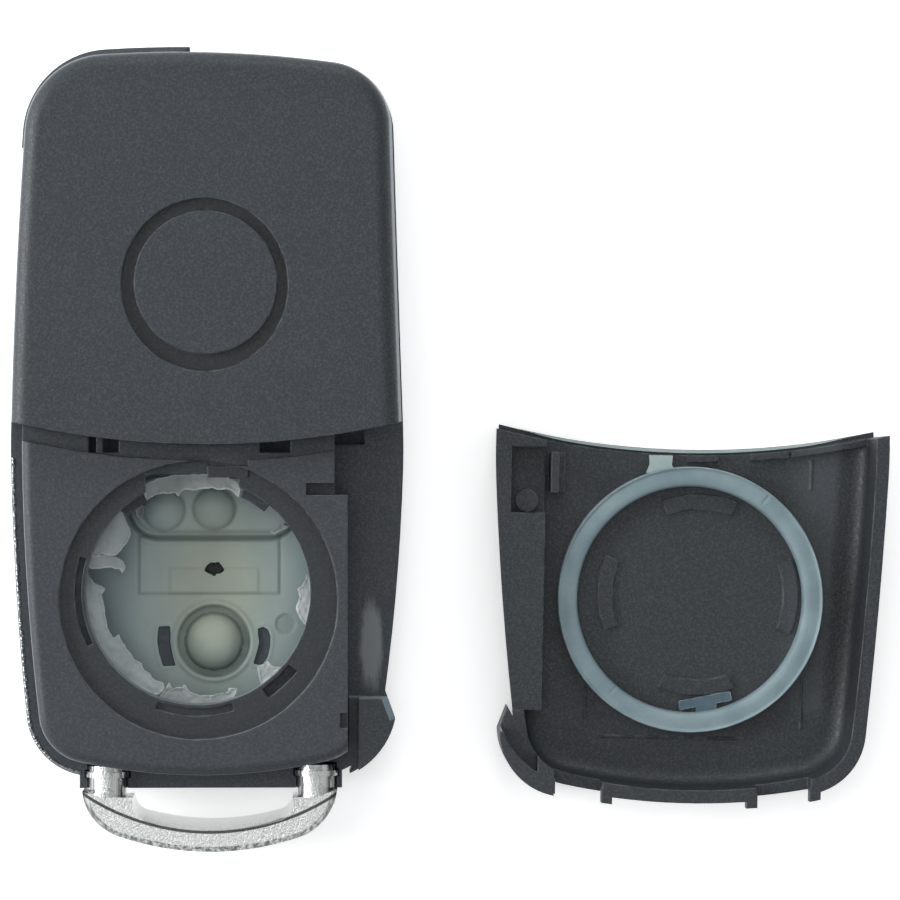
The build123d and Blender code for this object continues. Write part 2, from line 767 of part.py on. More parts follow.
def edge_lip():
    """The low lip inside the cover along the seam, with its gaps."""
    near, far = edge_lip_band
    lip_low = skin_inside - edge_lip_height
    band = (above_seam(-far) - above_seam(-near)) & raised(body_face(cover_wall), lip_low, skin_inside)
    band = band & block(-beyond, runner_x - runner_width, -beyond, beyond, 0, over)
    for left, right in edge_lip_gaps:
        band -= block(left, right, -beyond, beyond, 0, over)
    return band


def with_hooks(cover):
    """Add the hooks beside the loop's posts and cut the rooms for the posts and the bow's shoulders."""
    low = parting_height + part_gap
    hook_band = raised(body_face(-hook_reach, cover_overhang), low, low + hook_height)
    hook_band -= raised(body_face(cover_wall / 2, cover_overhang), 0, over)
    gap = 2 * part_gap
    for left, right in ((loop_left_end[0], loop_hole[0]), (loop_hole[1], loop_right_end[0])):
        far = foot_at((left + right) / 2) + cover_wall + hook_gap
        cover -= block(left - gap, right + gap, -beyond, far, 0, loop_top + hook_gap)
    beside = (hook_gap + hook_width) / 2
    ends = (loop_left_end[0] - beside, loop_right_end[0] + beside)
    for x in (*ends, loop_hole[0] + beside, loop_hole[1] - beside):
        cover += hook_band & block(x - hook_width / 2, x + hook_width / 2, -beyond, body_bottom / 2, 0, over)
    return cover


def cover_seal():
    """The soft seal moulded onto the cover's inside, with its runner and flash."""
    x, y = seal_x, rim[1]
    low = rim_ledge + seal_lift
    seal = disc(x, y, seal_outer, low, skin_inside) - disc(x, y, seal_inner, 0, over)
    seal = fillet(seal.faces().sort_by(Axis.Z)[0].edges(), seal_edge)
    flash_low = skin_inside - flash_thickness
    overlap = (seal_outer - seal_inner) / 3
    runner = block(runner_x - runner_width / 2, runner_x + runner_width / 2, y + seal_outer - overlap, beyond,
                   flash_low, skin_inside)
    runner -= above_seam(-seam_gap - cover_edge_step - part_gap)
    bar_x, bar_y, length, width = flash_bar
    bar = Pos(bar_x, bar_y, (flash_low + skin_inside) / 2) * Rot(0, 0, flash_bar_tilt)
    bar = bar * Box(length, width, flash_thickness)
    left, right = flash_stem
    stem = block(left, right, y - seal_inner - overlap, bar_y, flash_low, skin_inside)
    return seal + runner + bar + stem


def beside_fob(shape):
    """Turn a cover piece over, inner side up, and lay it beside the fob."""
    turned = Rot(0, 180, 0) * shape
    return Pos(apart, -cover_drop, thickness) * Rot(0, 0, cover_turn) * turned


def in_row_frame(shape):
    """Move a piece so that the origin is under the middle of everything."""
    middle = (lower_length + loop_reach - upper_length) / 2
    return Pos(-apart / 2, middle, 0) * shape


def main():
    """Build every piece and write its file."""
    nodes = {
        "front_shell": front_shell(),
        "rear_upper_cover": rear_upper_cover(),
        "inner_frame": inner_frame(),
        "keypad_membrane": keypad_membrane(),
        "release_button": release_button(),
        "release_trim_ring": release_trim_ring(),
        "release_spring": release_spring(),
        "flip_head": flip_head(),
        "pivot_stud": pivot_stud(),
        "head_washer": head_washer(),
        "head_stop_pin": head_stop_pin(),
        "key_ring_loop": key_ring_loop(),
        "battery_cover": beside_fob(battery_cover()),
        "cover_seal": beside_fob(cover_seal()),
    }
    flanges = cap_outlines(cap_flange)
    for name, outline in cap_outlines(0).items():
        nodes[name] = button_cap(outline, flanges[name])
    os.makedirs("parts", exist_ok=True)
    for name, shape in nodes.items():
        export_step(in_row_frame(shape), f"parts/{name}.step")


main()
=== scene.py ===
"""Dresses a flip key fob shell: finishes, soft mouldings, torn flash, burrs, floor, light and camera.

All sizes in this file are in millimetres of the fob's own place, and turn into metres of the row
when a mesh is made. In the fob's own place x = 0 is its centre line, y = 0 is the seam, and z = 0 is
the floor. A point of the battery cover is given where it would be with the cover closed.
"""

from __future__ import annotations

import json
import logging
import math
from dataclasses import dataclass
from enum import Enum
from functools import partial
from typing import Callable, Sequence

import bmesh
import bpy
import numpy as np
from mathutils import Matrix, Vector, noise

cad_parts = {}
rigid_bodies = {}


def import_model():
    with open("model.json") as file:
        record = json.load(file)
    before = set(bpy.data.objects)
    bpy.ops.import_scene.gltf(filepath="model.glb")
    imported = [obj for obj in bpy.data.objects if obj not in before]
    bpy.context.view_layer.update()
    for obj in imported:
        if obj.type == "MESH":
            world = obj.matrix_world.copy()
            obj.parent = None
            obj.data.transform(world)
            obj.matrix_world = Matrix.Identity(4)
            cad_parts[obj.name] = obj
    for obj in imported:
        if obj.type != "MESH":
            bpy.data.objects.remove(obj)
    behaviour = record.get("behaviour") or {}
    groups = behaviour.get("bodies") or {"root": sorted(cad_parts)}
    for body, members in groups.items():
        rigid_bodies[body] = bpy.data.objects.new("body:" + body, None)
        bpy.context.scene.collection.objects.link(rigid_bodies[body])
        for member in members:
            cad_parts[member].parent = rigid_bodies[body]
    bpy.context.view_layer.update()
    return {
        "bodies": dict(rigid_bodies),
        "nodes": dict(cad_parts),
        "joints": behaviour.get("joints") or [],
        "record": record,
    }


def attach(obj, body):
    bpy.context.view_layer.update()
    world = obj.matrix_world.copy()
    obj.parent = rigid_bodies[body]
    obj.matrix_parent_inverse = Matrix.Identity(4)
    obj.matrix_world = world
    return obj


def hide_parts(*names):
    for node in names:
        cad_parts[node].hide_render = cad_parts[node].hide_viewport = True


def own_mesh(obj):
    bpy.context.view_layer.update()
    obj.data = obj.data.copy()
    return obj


LOG = logging.getLogger("key_fob")
MM = 0.001
# The point attribute that holds the painted shade in the keypad's creases.
CREASE_SHADE = "crease_shade"
Colour = tuple[float, float, float, float]
Box = tuple[float, float, float, float]
Triple = tuple[float, float, float]
Flat = tuple[float, float]
Field = Callable[[np.ndarray, np.ndarray], np.ndarray]


class Home(Enum):
    """Which half of the row a piece belongs to."""

    FOB = "fob"
    LID = "lid"


@dataclass(frozen=True)
class Row:
    """Where the fob and its cover lie in the row."""

    apart: float = 44.4
    middle: float = 0.65
    thickness: float = 15.6
    drop: float = 0.3
    turn: float = -1.2

    def point(self, home: Home, x: float, y: float, z: float) -> Vector:
        """Gives the row's point for a place on the fob or on the closed cover.

        Args:
            home: The half that the place is given in.
            x: Across, in millimetres.
            y: Along, in millimetres.
            z: Up, in millimetres.

        Returns:
            The point in metres.
        """
        if home is Home.FOB:
            return Vector((x - self.apart / 2, y + self.middle, z)) * MM
        angle = math.radians(self.turn)
        across = -x * math.cos(angle) - y * math.sin(angle)
        along = -x * math.sin(angle) + y * math.cos(angle)
        return Vector((across + self.apart / 2, along - self.drop + self.middle, self.thickness - z)) * MM


ROW = Row()


class Wiring:
    """Adds nodes to one node tree and links them."""

    def __init__(self, tree: bpy.types.NodeTree) -> None:
        """Keeps the tree that the nodes go into."""
        self.tree = tree

    def add(self, kind: str, **settings: object) -> bpy.types.Node:
        """Adds one node and sets its own properties.

        Args:
            kind: The type of the node.
            **settings: Its properties and their values.

        Returns:
            The new node.
        """
        node = self.tree.nodes.new(kind)
        for name, value in settings.items():
            setattr(node, name, value)
        return node

    def feed(self, socket: bpy.types.NodeSocket, value: object) -> None:
        """Links a socket to another one, or sets it to a plain value.

        Args:
            socket: The input to feed.
            value: An output socket, or a plain value.
        """
        if isinstance(value, bpy.types.NodeSocket):
            self.tree.links.new(value, socket)
        else:
            socket.default_value = value

    def fill(self, node: bpy.types.Node, values: dict[str, object]) -> bpy.types.Node:
        """Feeds a node's inputs by their names and gives the node.

        Args:
            node: The node to feed.
            values: What each named input gets.

        Returns:
            The same node.
        """
        for label, value in values.items():
            self.feed(node.inputs[label], value)
        return node

    def vector(self, operation: str, first: object, second: object) -> bpy.types.Node:
        """Adds a Vector Math node with its two inputs fed.

        Args:
            operation: The node's operation.
            first: The first vector.
            second: The second vector.

        Returns:
            The new node.
        """
        node = self.add("ShaderNodeVectorMath", operation=operation)
        self.feed(node.inputs[0], first)
        self.feed(node.inputs[1], second)
        return node

    def maths(
        self, operation: str, first: object, second: object = 0.5, third: object = 0.5,
    ) -> bpy.types.NodeSocket:
        """Adds a Math node and gives its output.

        Args:
            operation: The node's operation.
            first: The first value.
            second: The second value.
            third: The third value, where the operation has one.

        Returns:
            The output socket.
        """
        node = self.add("ShaderNodeMath", operation=operation)
        for socket, value in zip(node.inputs, (first, second, third)):
            self.feed(socket, value)
        return node.outputs[0]

    def length(self, across: object, along: object) -> bpy.types.NodeSocket:
        """Gives the length of a flat step from its two parts."""
        squares = (self.maths("MULTIPLY", across, across), self.maths("MULTIPLY", along, along))
        return self.maths("SQRT", self.maths("ADD", *squares))

    def both(self, first: object, second: object) -> bpy.types.NodeSocket:
        """Multiplies two shares."""
        return self.maths("MULTIPLY", first, second)

    def drawn_out(self, place: object, scales: Triple) -> bpy.types.NodeSocket:
        """Scales the place differently along each axis, for streaks."""
        return self.vector("MULTIPLY", place, scales).outputs["Vector"]

    def ramp(
        self, value: object, low: float, high: float, out_low: float = 0.0, out_high: float = 1.0,
    ) -> bpy.types.NodeSocket:
        """Maps a value smoothly from one range to another, held at both ends.

        Args:
            value: The value to map.
            low: Where the range starts.
            high: Where it ends.
            out_low: What is given at its start.
            out_high: What is given at its end.

        Returns:
            The output socket.
        """
        node = self.add("ShaderNodeMapRange", interpolation_type="SMOOTHSTEP", clamp=True)
        for socket, item in zip(node.inputs, (value, low, high, out_low, out_high)):
            self.feed(socket, item)
        return node.outputs[0]

    def blend(self, factor: object, low: object, high: object, mode: str = "MIX") -> bpy.types.NodeSocket:
        """Mixes two colours and gives the result.

        Args:
            factor: The share of the second colour.
            low: The first colour.
            high: The second colour.
            mode: The way in which they mix.

        Returns:
            The output socket.
        """
        node = self.add("ShaderNodeMix", data_type="RGBA", blend_type=mode)
        self.feed(node.inputs[0], factor)
        self.feed(node.inputs[6], low)
        self.feed(node.inputs[7], high)
        return node.outputs[2]

    def cloud(
        self, place: object, scale: float, detail: float = 2.0, rough: float = 0.5,
    ) -> bpy.types.NodeSocket:
        """Adds a noise texture with cells per metre and gives its value.

        Args:
            place: Where the noise is read.
            scale: Cells to the metre.
            detail: How many finer layers are added.
            rough: How strong the finer layers are.

        Returns:
            The output socket.
        """
        values = {"Vector": place, "Scale": scale, "Detail": detail, "Roughness": rough}
        return self.fill(self.add("ShaderNodeTexNoise"), values).outputs[0]

    def cells(self, feature: str, place: object, scale: object) -> bpy.types.NodeSocket:
        """Adds a Voronoi texture and gives the distance from its nearest seed.

        Args:
            feature: Which distance is measured.
            place: Where the texture is read.
            scale: Cells to the metre.

        Returns:
            The output socket.
        """
        node = self.add("ShaderNodeTexVoronoi", feature=feature)
        return self.fill(node, {"Vector": place, "Scale": scale}).outputs["Distance"]

    def place(self) -> bpy.types.NodeSocket:
        """Gives the object coordinates, which are the row's metres."""
        return self.add("ShaderNodeTexCoord").outputs["Object"]

    def split(self, vector: object) -> Sequence[bpy.types.NodeSocket]:
        """Gives the three parts of a vector.

        Args:
            vector: The vector.

        Returns:
            Its three outputs.
        """
        node = self.add("ShaderNodeSeparateXYZ")
        self.feed(node.inputs[0], vector)
        return node.outputs

    def near(self, place: object, centre: Vector) -> bpy.types.NodeSocket:
        """Gives the distance from a point of the row, in metres."""
        return self.vector("DISTANCE", place, tuple(centre)).outputs["Value"]


class SharedEffects:
    """The shader groups that more than one finish uses, each built once."""

    def __init__(self) -> None:
        """Builds every group."""
        self.grain = self._grain()
        self.rubbed = self._rubbed()
        self.dust = self._dust()
        self.mottle = self._mottle()

    @staticmethod
    def _group(
        name: str, inputs: dict[str, float], outputs: dict[str, str],
    ) -> tuple[bpy.types.NodeTree, Wiring, bpy.types.Node, bpy.types.Node]:
        """Starts a group with a place input, named values and named outputs.

        Args:
            name: The name of the group.
            inputs: Its named values and their defaults.
            outputs: Its named outputs and their types.

        Returns:
            The tree, its wiring, its input node and its output node.
        """
        tree = bpy.data.node_groups.new(name, "ShaderNodeTree")
        tree.interface.new_socket(name="Place", in_out="INPUT", socket_type="NodeSocketVector")
        for label, value in inputs.items():
            socket = tree.interface.new_socket(name=label, in_out="INPUT", socket_type="NodeSocketFloat")
            socket.default_value = value
        for label, kind in outputs.items():
            tree.interface.new_socket(name=label, in_out="OUTPUT", socket_type=kind)
        wire = Wiring(tree)
        return tree, wire, wire.add("NodeGroupInput"), wire.add("NodeGroupOutput")

    def _grain(self) -> bpy.types.NodeTree:
        """Builds the spark-eroded grain of moulded plastic.

        Returns:
            The group.
        """
        tree, wire, given, out = self._group(
            "moulded_grain", {"Scale": 5000.0}, {"Height": "NodeSocketFloat"})
        pits = wire.cells("SMOOTH_F1", given.outputs["Place"], given.outputs["Scale"])
        fine = wire.cloud(given.outputs["Place"], given.outputs["Scale"], 3.0, 0.6)
        wire.feed(out.inputs["Height"], wire.maths("MULTIPLY_ADD", pits, 0.6, fine))
        return tree

    def _rubbed(self) -> bpy.types.NodeTree:
        """Builds the mask of rubbed edges and the softened normal there.

        Returns:
            The group.
        """
        tree, wire, given, out = self._group(
            "rubbed_edges", {"Reach": 0.0002, "Patches": 400.0},
            {"Mask": "NodeSocketFloat", "Normal": "NodeSocketVector"})
        bevel = wire.add("ShaderNodeBevel", samples=4)
        soft = wire.fill(bevel, {"Radius": given.outputs["Reach"]}).outputs["Normal"]
        true = wire.add("ShaderNodeNewGeometry").outputs["Normal"]
        bend = wire.ramp(wire.vector("DOT_PRODUCT", soft, true).outputs["Value"], 0.995, 0.86)
        patch = wire.ramp(wire.cloud(given.outputs["Place"], given.outputs["Patches"], 3.0), 0.35, 0.65)
        wire.fill(out, {"Mask": wire.both(bend, patch), "Normal": soft})
        return tree

    def _dust(self) -> bpy.types.NodeTree:
        """Builds the mask of small pale specks.

        Returns:
            The group.
        """
        tree, wire, given, out = self._group(
            "dust_specks", {"Scale": 260.0, "Size": 0.02}, {"Mask": "NodeSocketFloat"})
        cells = wire.cells("F1", given.outputs["Place"], given.outputs["Scale"])
        speck = wire.maths("LESS_THAN", cells, given.outputs["Size"])
        wire.feed(out.inputs["Mask"], speck)
        return tree

    def _mottle(self) -> bpy.types.NodeTree:
        """Builds the slow change of tone over a moulded surface.

        Returns:
            The group.
        """
        tree, wire, given, out = self._group("slow_mottle", {"Scale": 120.0}, {"Tone": "NodeSocketFloat"})
        slow = wire.cloud(given.outputs["Place"], given.outputs["Scale"], 4.0, 0.55)
        wire.feed(out.inputs["Tone"], wire.ramp(slow, 0.3, 0.7, 0.0, 1.0))
        return tree

    def use(self, wire: Wiring, tree: bpy.types.NodeTree, place: object, **values: float) -> bpy.types.Node:
        """Places one group in a material with its own values."""
        return wire.fill(wire.add("ShaderNodeGroup", node_tree=tree), {"Place": place, **values})


@dataclass(frozen=True)
class Finish:
    """What every finish has: a name, a colour and how rough it is."""

    name: str
    colour: Colour
    roughness: float

    def start(self) -> tuple[bpy.types.Material, Wiring, bpy.types.Node]:
        """Makes an empty node material with its shader.

        Returns:
            The material, its wiring and its shader.
        """
        material = bpy.data.materials.new(self.name)
        material.use_nodes = True
        wire = Wiring(material.node_tree)
        shader = material.node_tree.nodes["Principled BSDF"]
        wire.fill(shader, {"Base Color": self.colour, "Roughness": self.roughness})
        material.diffuse_color = self.colour
        return material, wire, shader

    @staticmethod
    def bump(
        wire: Wiring, shader: bpy.types.Node, height: object, depth: float, normal: object = None,
    ) -> None:
        """Feeds the shader's normal from a height.

        Args:
            wire: The wiring of the node tree.
            shader: The material's shader.
            height: The height, from 0 to about 1.
            depth: How far a height of 1 stands out, in metres.
            normal: The normal to start from, where it is not the plain one.
        """
        node = wire.fill(wire.add("ShaderNodeBump"), {"Strength": 1.0, "Distance": depth, "Height": height})
        if normal is not None:
            wire.feed(node.inputs["Normal"], normal)
        wire.feed(shader.inputs["Normal"], node.outputs["Normal"])


@dataclass(frozen=True)
class ShadedRecess:
    """A round recess, or a ring of one, whose floor gets painted shade that makes it darker than the face
    round it.
    """

    centre: Flat
    inner: float
    outer: float
    low: float
    high: float
    strength: float
    soft: float = 0.08
    colour: Colour = (0.004, 0.005, 0.006, 1.0)

    def mask(self, wire: Wiring, place: object) -> bpy.types.NodeSocket:
        """Gives the share of painted shade on the floor.

        Args:
            wire: The wiring of the node tree.
            place: The object coordinates, in the row's metres.

        Returns:
            The share, from 0 to the strength.
        """
        across, along, up = wire.split(place)
        middle = ROW.point(Home.FOB, *self.centre, 0.0)
        dx = wire.maths("SUBTRACT", across, middle.x)
        dy = wire.maths("SUBTRACT", along, middle.y)
        far = wire.length(dx, dy)
        soft = self.soft * MM
        inside = wire.ramp(far, self.outer * MM + soft, self.outer * MM)
        outside = wire.ramp(far, self.inner * MM - soft, self.inner * MM)
        under = wire.ramp(up, self.high * MM + soft, self.high * MM)
        over = wire.ramp(up, self.low * MM - soft, self.low * MM, 0.0, self.strength)
        return wire.both(wire.both(inside, outside), wire.both(under, over))


@dataclass(frozen=True)
class FacetReflection:
    """A painted pale reflection on a sloping facet: the place of its middle, its reach and its colour."""

    home: Home
    middle: Triple
    reach: float = 1.5
    colour: Colour = (0.17, 0.22, 0.245, 1.0)

    def mask(self, wire: Wiring, place: object) -> bpy.types.NodeSocket:
        """Gives the mask of the faces near the middle that don't lie flat.

        Args:
            wire: The wiring of the node tree.
            place: The object coordinates, in the row's metres.

        Returns:
            The mask, from 0 to 1.
        """
        away = wire.near(place, ROW.point(self.home, *self.middle))
        close = wire.ramp(away, self.reach * MM, self.reach * 0.8 * MM)
        facing = wire.split(wire.add("ShaderNodeNewGeometry").outputs["Normal"])[2]
        return wire.both(close, wire.ramp(wire.maths("ABSOLUTE", facing), 0.96, 0.88))


@dataclass(frozen=True)
class MouldedPlastic(Finish):
    """Charcoal moulded plastic with an eroded grain, rubbed edges and a little dust, and with painted light
    and shade: a painted sheen at grazing angles, painted shade on chosen recess floors and painted
    reflections on chosen faces.
    """

    dim: float = 0.9
    worn: Colour = (0.11, 0.12, 0.13, 1.0)
    grain_scale: float = 5200.0
    grain_depth: float = 0.00002
    edge: float = 0.0002
    patches: float = 900.0
    mottle_scale: float = 90.0
    spread: float = 0.06
    gloss: float = 0.4
    dust: float = 0.01
    dust_scale: float = 210.0
    speck: Colour = (0.2, 0.21, 0.22, 1.0)
    speckle: float = 0.2
    # A painted sheen: how strong it is, the range of grazing over which it comes in, and its pale colour.
    sheen: float = 0.0
    sheen_range: Flat = (0.55, 0.97)
    pale: Colour = (0.24, 0.29, 0.33, 1.0)
    # Recess floors that get painted shade.
    recesses: tuple[ShadedRecess, ...] = ()
    # Sloping faces that get a painted pale reflection.
    reflections: tuple[FacetReflection, ...] = ()

    def tone(self, wire: Wiring, effects: SharedEffects, place: object) -> object:
        """Gives the base colour before wear and dust.

        Args:
            wire: The wiring of the node tree.
            effects: The shared shader groups.
            place: The object coordinates, in the row's metres.

        Returns:
            The colour.
        """
        mottle = effects.use(wire, effects.mottle, place, Scale=self.mottle_scale)
        shade = (*(part * self.dim for part in self.colour[:3]), 1.0)
        return wire.blend(mottle.outputs["Tone"], shade, self.colour)

    def build(self, effects: SharedEffects) -> bpy.types.Material:
        """Makes the material.

        Args:
            effects: The shared shader groups.

        Returns:
            The new material.
        """
        material, wire, shader = self.start()
        place = wire.place()
        grain = effects.use(wire, effects.grain, place, Scale=self.grain_scale)
        rubbed = effects.use(wire, effects.rubbed, place, Reach=self.edge, Patches=self.patches)
        dust = effects.use(wire, effects.dust, place, Scale=self.dust_scale, Size=self.dust)
        tone = self.tone(wire, effects, place)
        fine = wire.ramp(grain.outputs["Height"], 0.55, 1.1)
        tone = wire.blend(wire.both(fine, self.speckle), tone, self.worn)
        # Painted shade on the floors of the listed recess rings.
        for recess in self.recesses:
            tone = wire.blend(recess.mask(wire, place), tone, recess.colour)
        # Painted pale reflections on the listed sloping faces.
        for facet in self.reflections:
            tone = wire.blend(facet.mask(wire, place), tone, facet.colour)
        # Painted sheen: the colour turns pale where the face is seen at a grazing angle.
        if self.sheen:
            turned = wire.add("ShaderNodeLayerWeight").outputs["Facing"]
            tone = wire.blend(wire.ramp(turned, *self.sheen_range, 0.0, self.sheen), tone, self.pale)
        tone = wire.blend(rubbed.outputs["Mask"], tone, self.worn)
        tone = wire.blend(dust.outputs["Mask"], tone, self.speck)
        rough = wire.ramp(fine, 0.0, 1.0, self.roughness + self.spread, self.roughness - self.spread)
        wire.fill(shader, {"Base Color": tone, "Roughness": rough, "Specular IOR Level": self.gloss})
        self.bump(wire, shader, grain.outputs["Height"], self.grain_depth, rubbed.outputs["Normal"])
        return material


@dataclass(frozen=True)
class BedPlastic(MouldedPlastic):
    """The front shell's plastic, rubbed where the blade lay in its channel: real wear whose paler colour also
    paints the highlight on the curved bed.
    """

    patch: Box = (15.0, -18.5, 1.1, 4.2)
    streaks: Triple = (2400.0, 340.0, 1.0)
    # The colour of the rubbed patch, which also paints the highlight on the bed.
    rubbed_highlight: Colour = (0.15, 0.165, 0.18, 1.0)
    bed_face: Flat = (0.9, 1.2)

    def tone(self, wire: Wiring, effects: SharedEffects, place: object) -> object:
        """Adds the long rubbed patch to the plain tone.

        Args:
            wire: The wiring of the node tree.
            effects: The shared shader groups.
            place: The object coordinates, in the row's metres.

        Returns:
            The colour.
        """
        tone = super().tone(wire, effects, place)
        x, y, wide, long = self.patch
        centre = ROW.point(Home.FOB, x, y, 0.0)
        across, along, up = wire.split(place)
        dx = wire.maths("DIVIDE", wire.maths("SUBTRACT", across, centre.x), wide * MM)
        dy = wire.maths("DIVIDE", wire.maths("SUBTRACT", along, centre.y), long * MM)
        far = wire.length(dx, dy)
        streaks = wire.cloud(wire.drawn_out(place, self.streaks), 1.0, 4.0, 0.7)
        ragged = wire.maths("MULTIPLY_ADD", streaks, 1.1, far)
        low, high = self.bed_face
        mask = wire.both(wire.ramp(ragged, 1.75, 1.15), wire.ramp(up, low * MM, high * MM))
        # The streaky patch is real rubbing wear, and its paler colour also paints the highlight on the bed.
        return wire.blend(mask, tone, self.rubbed_highlight)


@dataclass(frozen=True)
class LidPlastic(MouldedPlastic):
    """The battery cover's plastic, with painted light along its right floor and a painted shadow at the foot
    of that wall.
    """

    slant: float = 0.0728
    wall: float = 38.04
    foot: Flat = (-25.5, -23.0)
    inner_face: Flat = (0.5, 0.8)
    lit_rise: Flat = (-7.0, -3.6)
    lit_fall: Flat = (-0.9, -2.0)
    lit_share: float = 0.62
    shade_rise: Flat = (-1.8, -0.6)
    shade_fall: Flat = (1.5, 1.0)
    shade_share: float = 0.6
    # The colours of the painted light on the floor and of the painted shadow at the wall's foot.
    lit_floor_colour: Colour = (0.05, 0.06, 0.069, 1.0)
    wall_shade_colour: Colour = (0.003, 0.004, 0.005, 1.0)

    def tone(self, wire: Wiring, effects: SharedEffects, place: object) -> object:
        """Adds the painted strip of light and the painted shadow beside it, which both follow the wall.

        Args:
            wire: The wiring of the node tree.
            effects: The shared shader groups.
            place: The object coordinates, in the row's metres.

        Returns:
            The colour.
        """
        tone = super().tone(wire, effects, place)
        across, along, up = wire.split(place)
        line = wire.maths("MULTIPLY_ADD", along, -self.slant, across)
        reach = wire.maths("SUBTRACT", line, self.wall * MM)

        def step(value: object, ends: Flat, top: float = 1.0) -> bpy.types.NodeSocket:
            """Rises from 0 to a share between two places in millimetres."""
            return wire.ramp(value, ends[0] * MM, ends[1] * MM, 0.0, top)

        inside = wire.both(step(along, self.foot), step(up, self.inner_face))
        # Painted light on the floor beside the wall, and painted shade at the foot of the wall.
        pale = wire.both(step(reach, self.lit_rise), step(reach, self.lit_fall, self.lit_share))
        dark = wire.both(step(reach, self.shade_rise), step(reach, self.shade_fall, self.shade_share))
        tone = wire.blend(wire.both(pale, inside), tone, self.lit_floor_colour)
        return wire.blend(wire.both(dark, inside), tone, self.wall_shade_colour)


def soften(
    wire: Wiring, shader: bpy.types.Node, tone: object, gloss: float, weight: float, depth: Triple,
) -> None:
    """Feeds what all soft plastic has: its tone, a low gloss and a little light let through.

    Args:
        wire: The wiring of the node tree.
        shader: The material's shader.
        tone: The base colour.
        gloss: The specular level.
        weight: The share of light let through.
        depth: How far red, green and blue reach, in millimetres.
    """
    wire.fill(shader, {
        "Base Color": tone, "Specular IOR Level": gloss, "Subsurface Weight": weight,
        "Subsurface Radius": tuple(part * MM for part in depth)})


@dataclass(frozen=True)
class KeypadRubber(Finish):
    """Pale grey-green soft plastic, with painted light that makes it paler and warmer over the middle,
    painted bluer shade towards its edge, and painted shade in its creases.
    """

    # The colours of the painted light over the middle and of the painted shade towards the edge.
    lit_middle: Colour = (0.43, 0.475, 0.395, 1.0)
    edge: Colour = (0.235, 0.31, 0.335, 1.0)
    # The colour of the painted shade in the creases.
    dark: Colour = (0.07, 0.09, 0.085, 1.0)
    cloudy: Colour = (0.27, 0.33, 0.31, 1.0)
    lit_middle_at: Flat = (0.5, -13.5)
    stretch: float = 0.6
    reach: Flat = (2.0, 9.5)
    mottle_scale: float = 420.0
    cloud_share: float = 0.22
    crease_shade_share: float = 0.8
    grain_scale: float = 2600.0
    bump_depth: float = 0.00001

    def build(self, effects: SharedEffects) -> bpy.types.Material:
        """Makes the material.

        Args:
            effects: The shared shader groups.

        Returns:
            The new material.
        """
        material, wire, shader = self.start()
        place = wire.place()
        across, along, _ = wire.split(place)
        # Painted light and shade: paler and warmer over the well's middle, darker and bluer towards its wall.
        middle_at = ROW.point(Home.FOB, *self.lit_middle_at, 3.5)
        dx = wire.maths("SUBTRACT", across, middle_at.x)
        dy = wire.maths("MULTIPLY", wire.maths("SUBTRACT", along, middle_at.y), self.stretch)
        far = wire.length(dx, dy)
        near, end = self.reach
        middle = (near + end) / 2
        tone = wire.blend(wire.ramp(far, near * MM, middle * MM), self.lit_middle, self.colour)
        tone = wire.blend(wire.ramp(far, middle * MM, end * MM), tone, self.edge)
        mottle = effects.use(wire, effects.mottle, place, Scale=self.mottle_scale)
        tone = wire.blend(wire.both(mottle.outputs["Tone"], self.cloud_share), tone, self.cloudy)
        # Painted shade in the grooves, moats and bump feet, read from the skin's point attribute.
        crease_shade = wire.add("ShaderNodeAttribute", attribute_name=CREASE_SHADE).outputs["Fac"]
        tone = wire.blend(wire.both(crease_shade, self.crease_shade_share), tone, self.dark)
        grain = effects.use(wire, effects.grain, place, Scale=self.grain_scale)
        soften(wire, shader, tone, 0.35, 0.12, (0.6, 0.7, 0.65))
        self.bump(wire, shader, grain.outputs["Height"], self.bump_depth)
        return material


@dataclass(frozen=True)
class SoftRing(Finish):
    """Pale blue-grey soft plastic of the seal and what was moulded with it."""

    pale: Colour = (0.40, 0.47, 0.47, 1.0)
    rim: Colour = (0.42, 0.48, 0.48, 1.0)
    bump_depth: float = 0.000015
    mottle_scale: float = 260.0
    edge: float = 0.00018
    patches: float = 700.0
    rim_share: float = 0.6
    grain_scale: float = 2200.0

    def build(self, effects: SharedEffects) -> bpy.types.Material:
        """Makes the material.

        Args:
            effects: The shared shader groups.

        Returns:
            The new material.
        """
        material, wire, shader = self.start()
        place = wire.place()
        mottle = effects.use(wire, effects.mottle, place, Scale=self.mottle_scale)
        tone = wire.blend(mottle.outputs["Tone"], self.colour, self.pale)
        rubbed = effects.use(wire, effects.rubbed, place, Reach=self.edge, Patches=self.patches)
        tone = wire.blend(wire.both(rubbed.outputs["Mask"], self.rim_share), tone, self.rim)
        grain = effects.use(wire, effects.grain, place, Scale=self.grain_scale)
        soften(wire, shader, tone, 0.4, 0.1, (0.5, 0.6, 0.6))
        self.bump(wire, shader, grain.outputs["Height"], self.bump_depth)
        return material


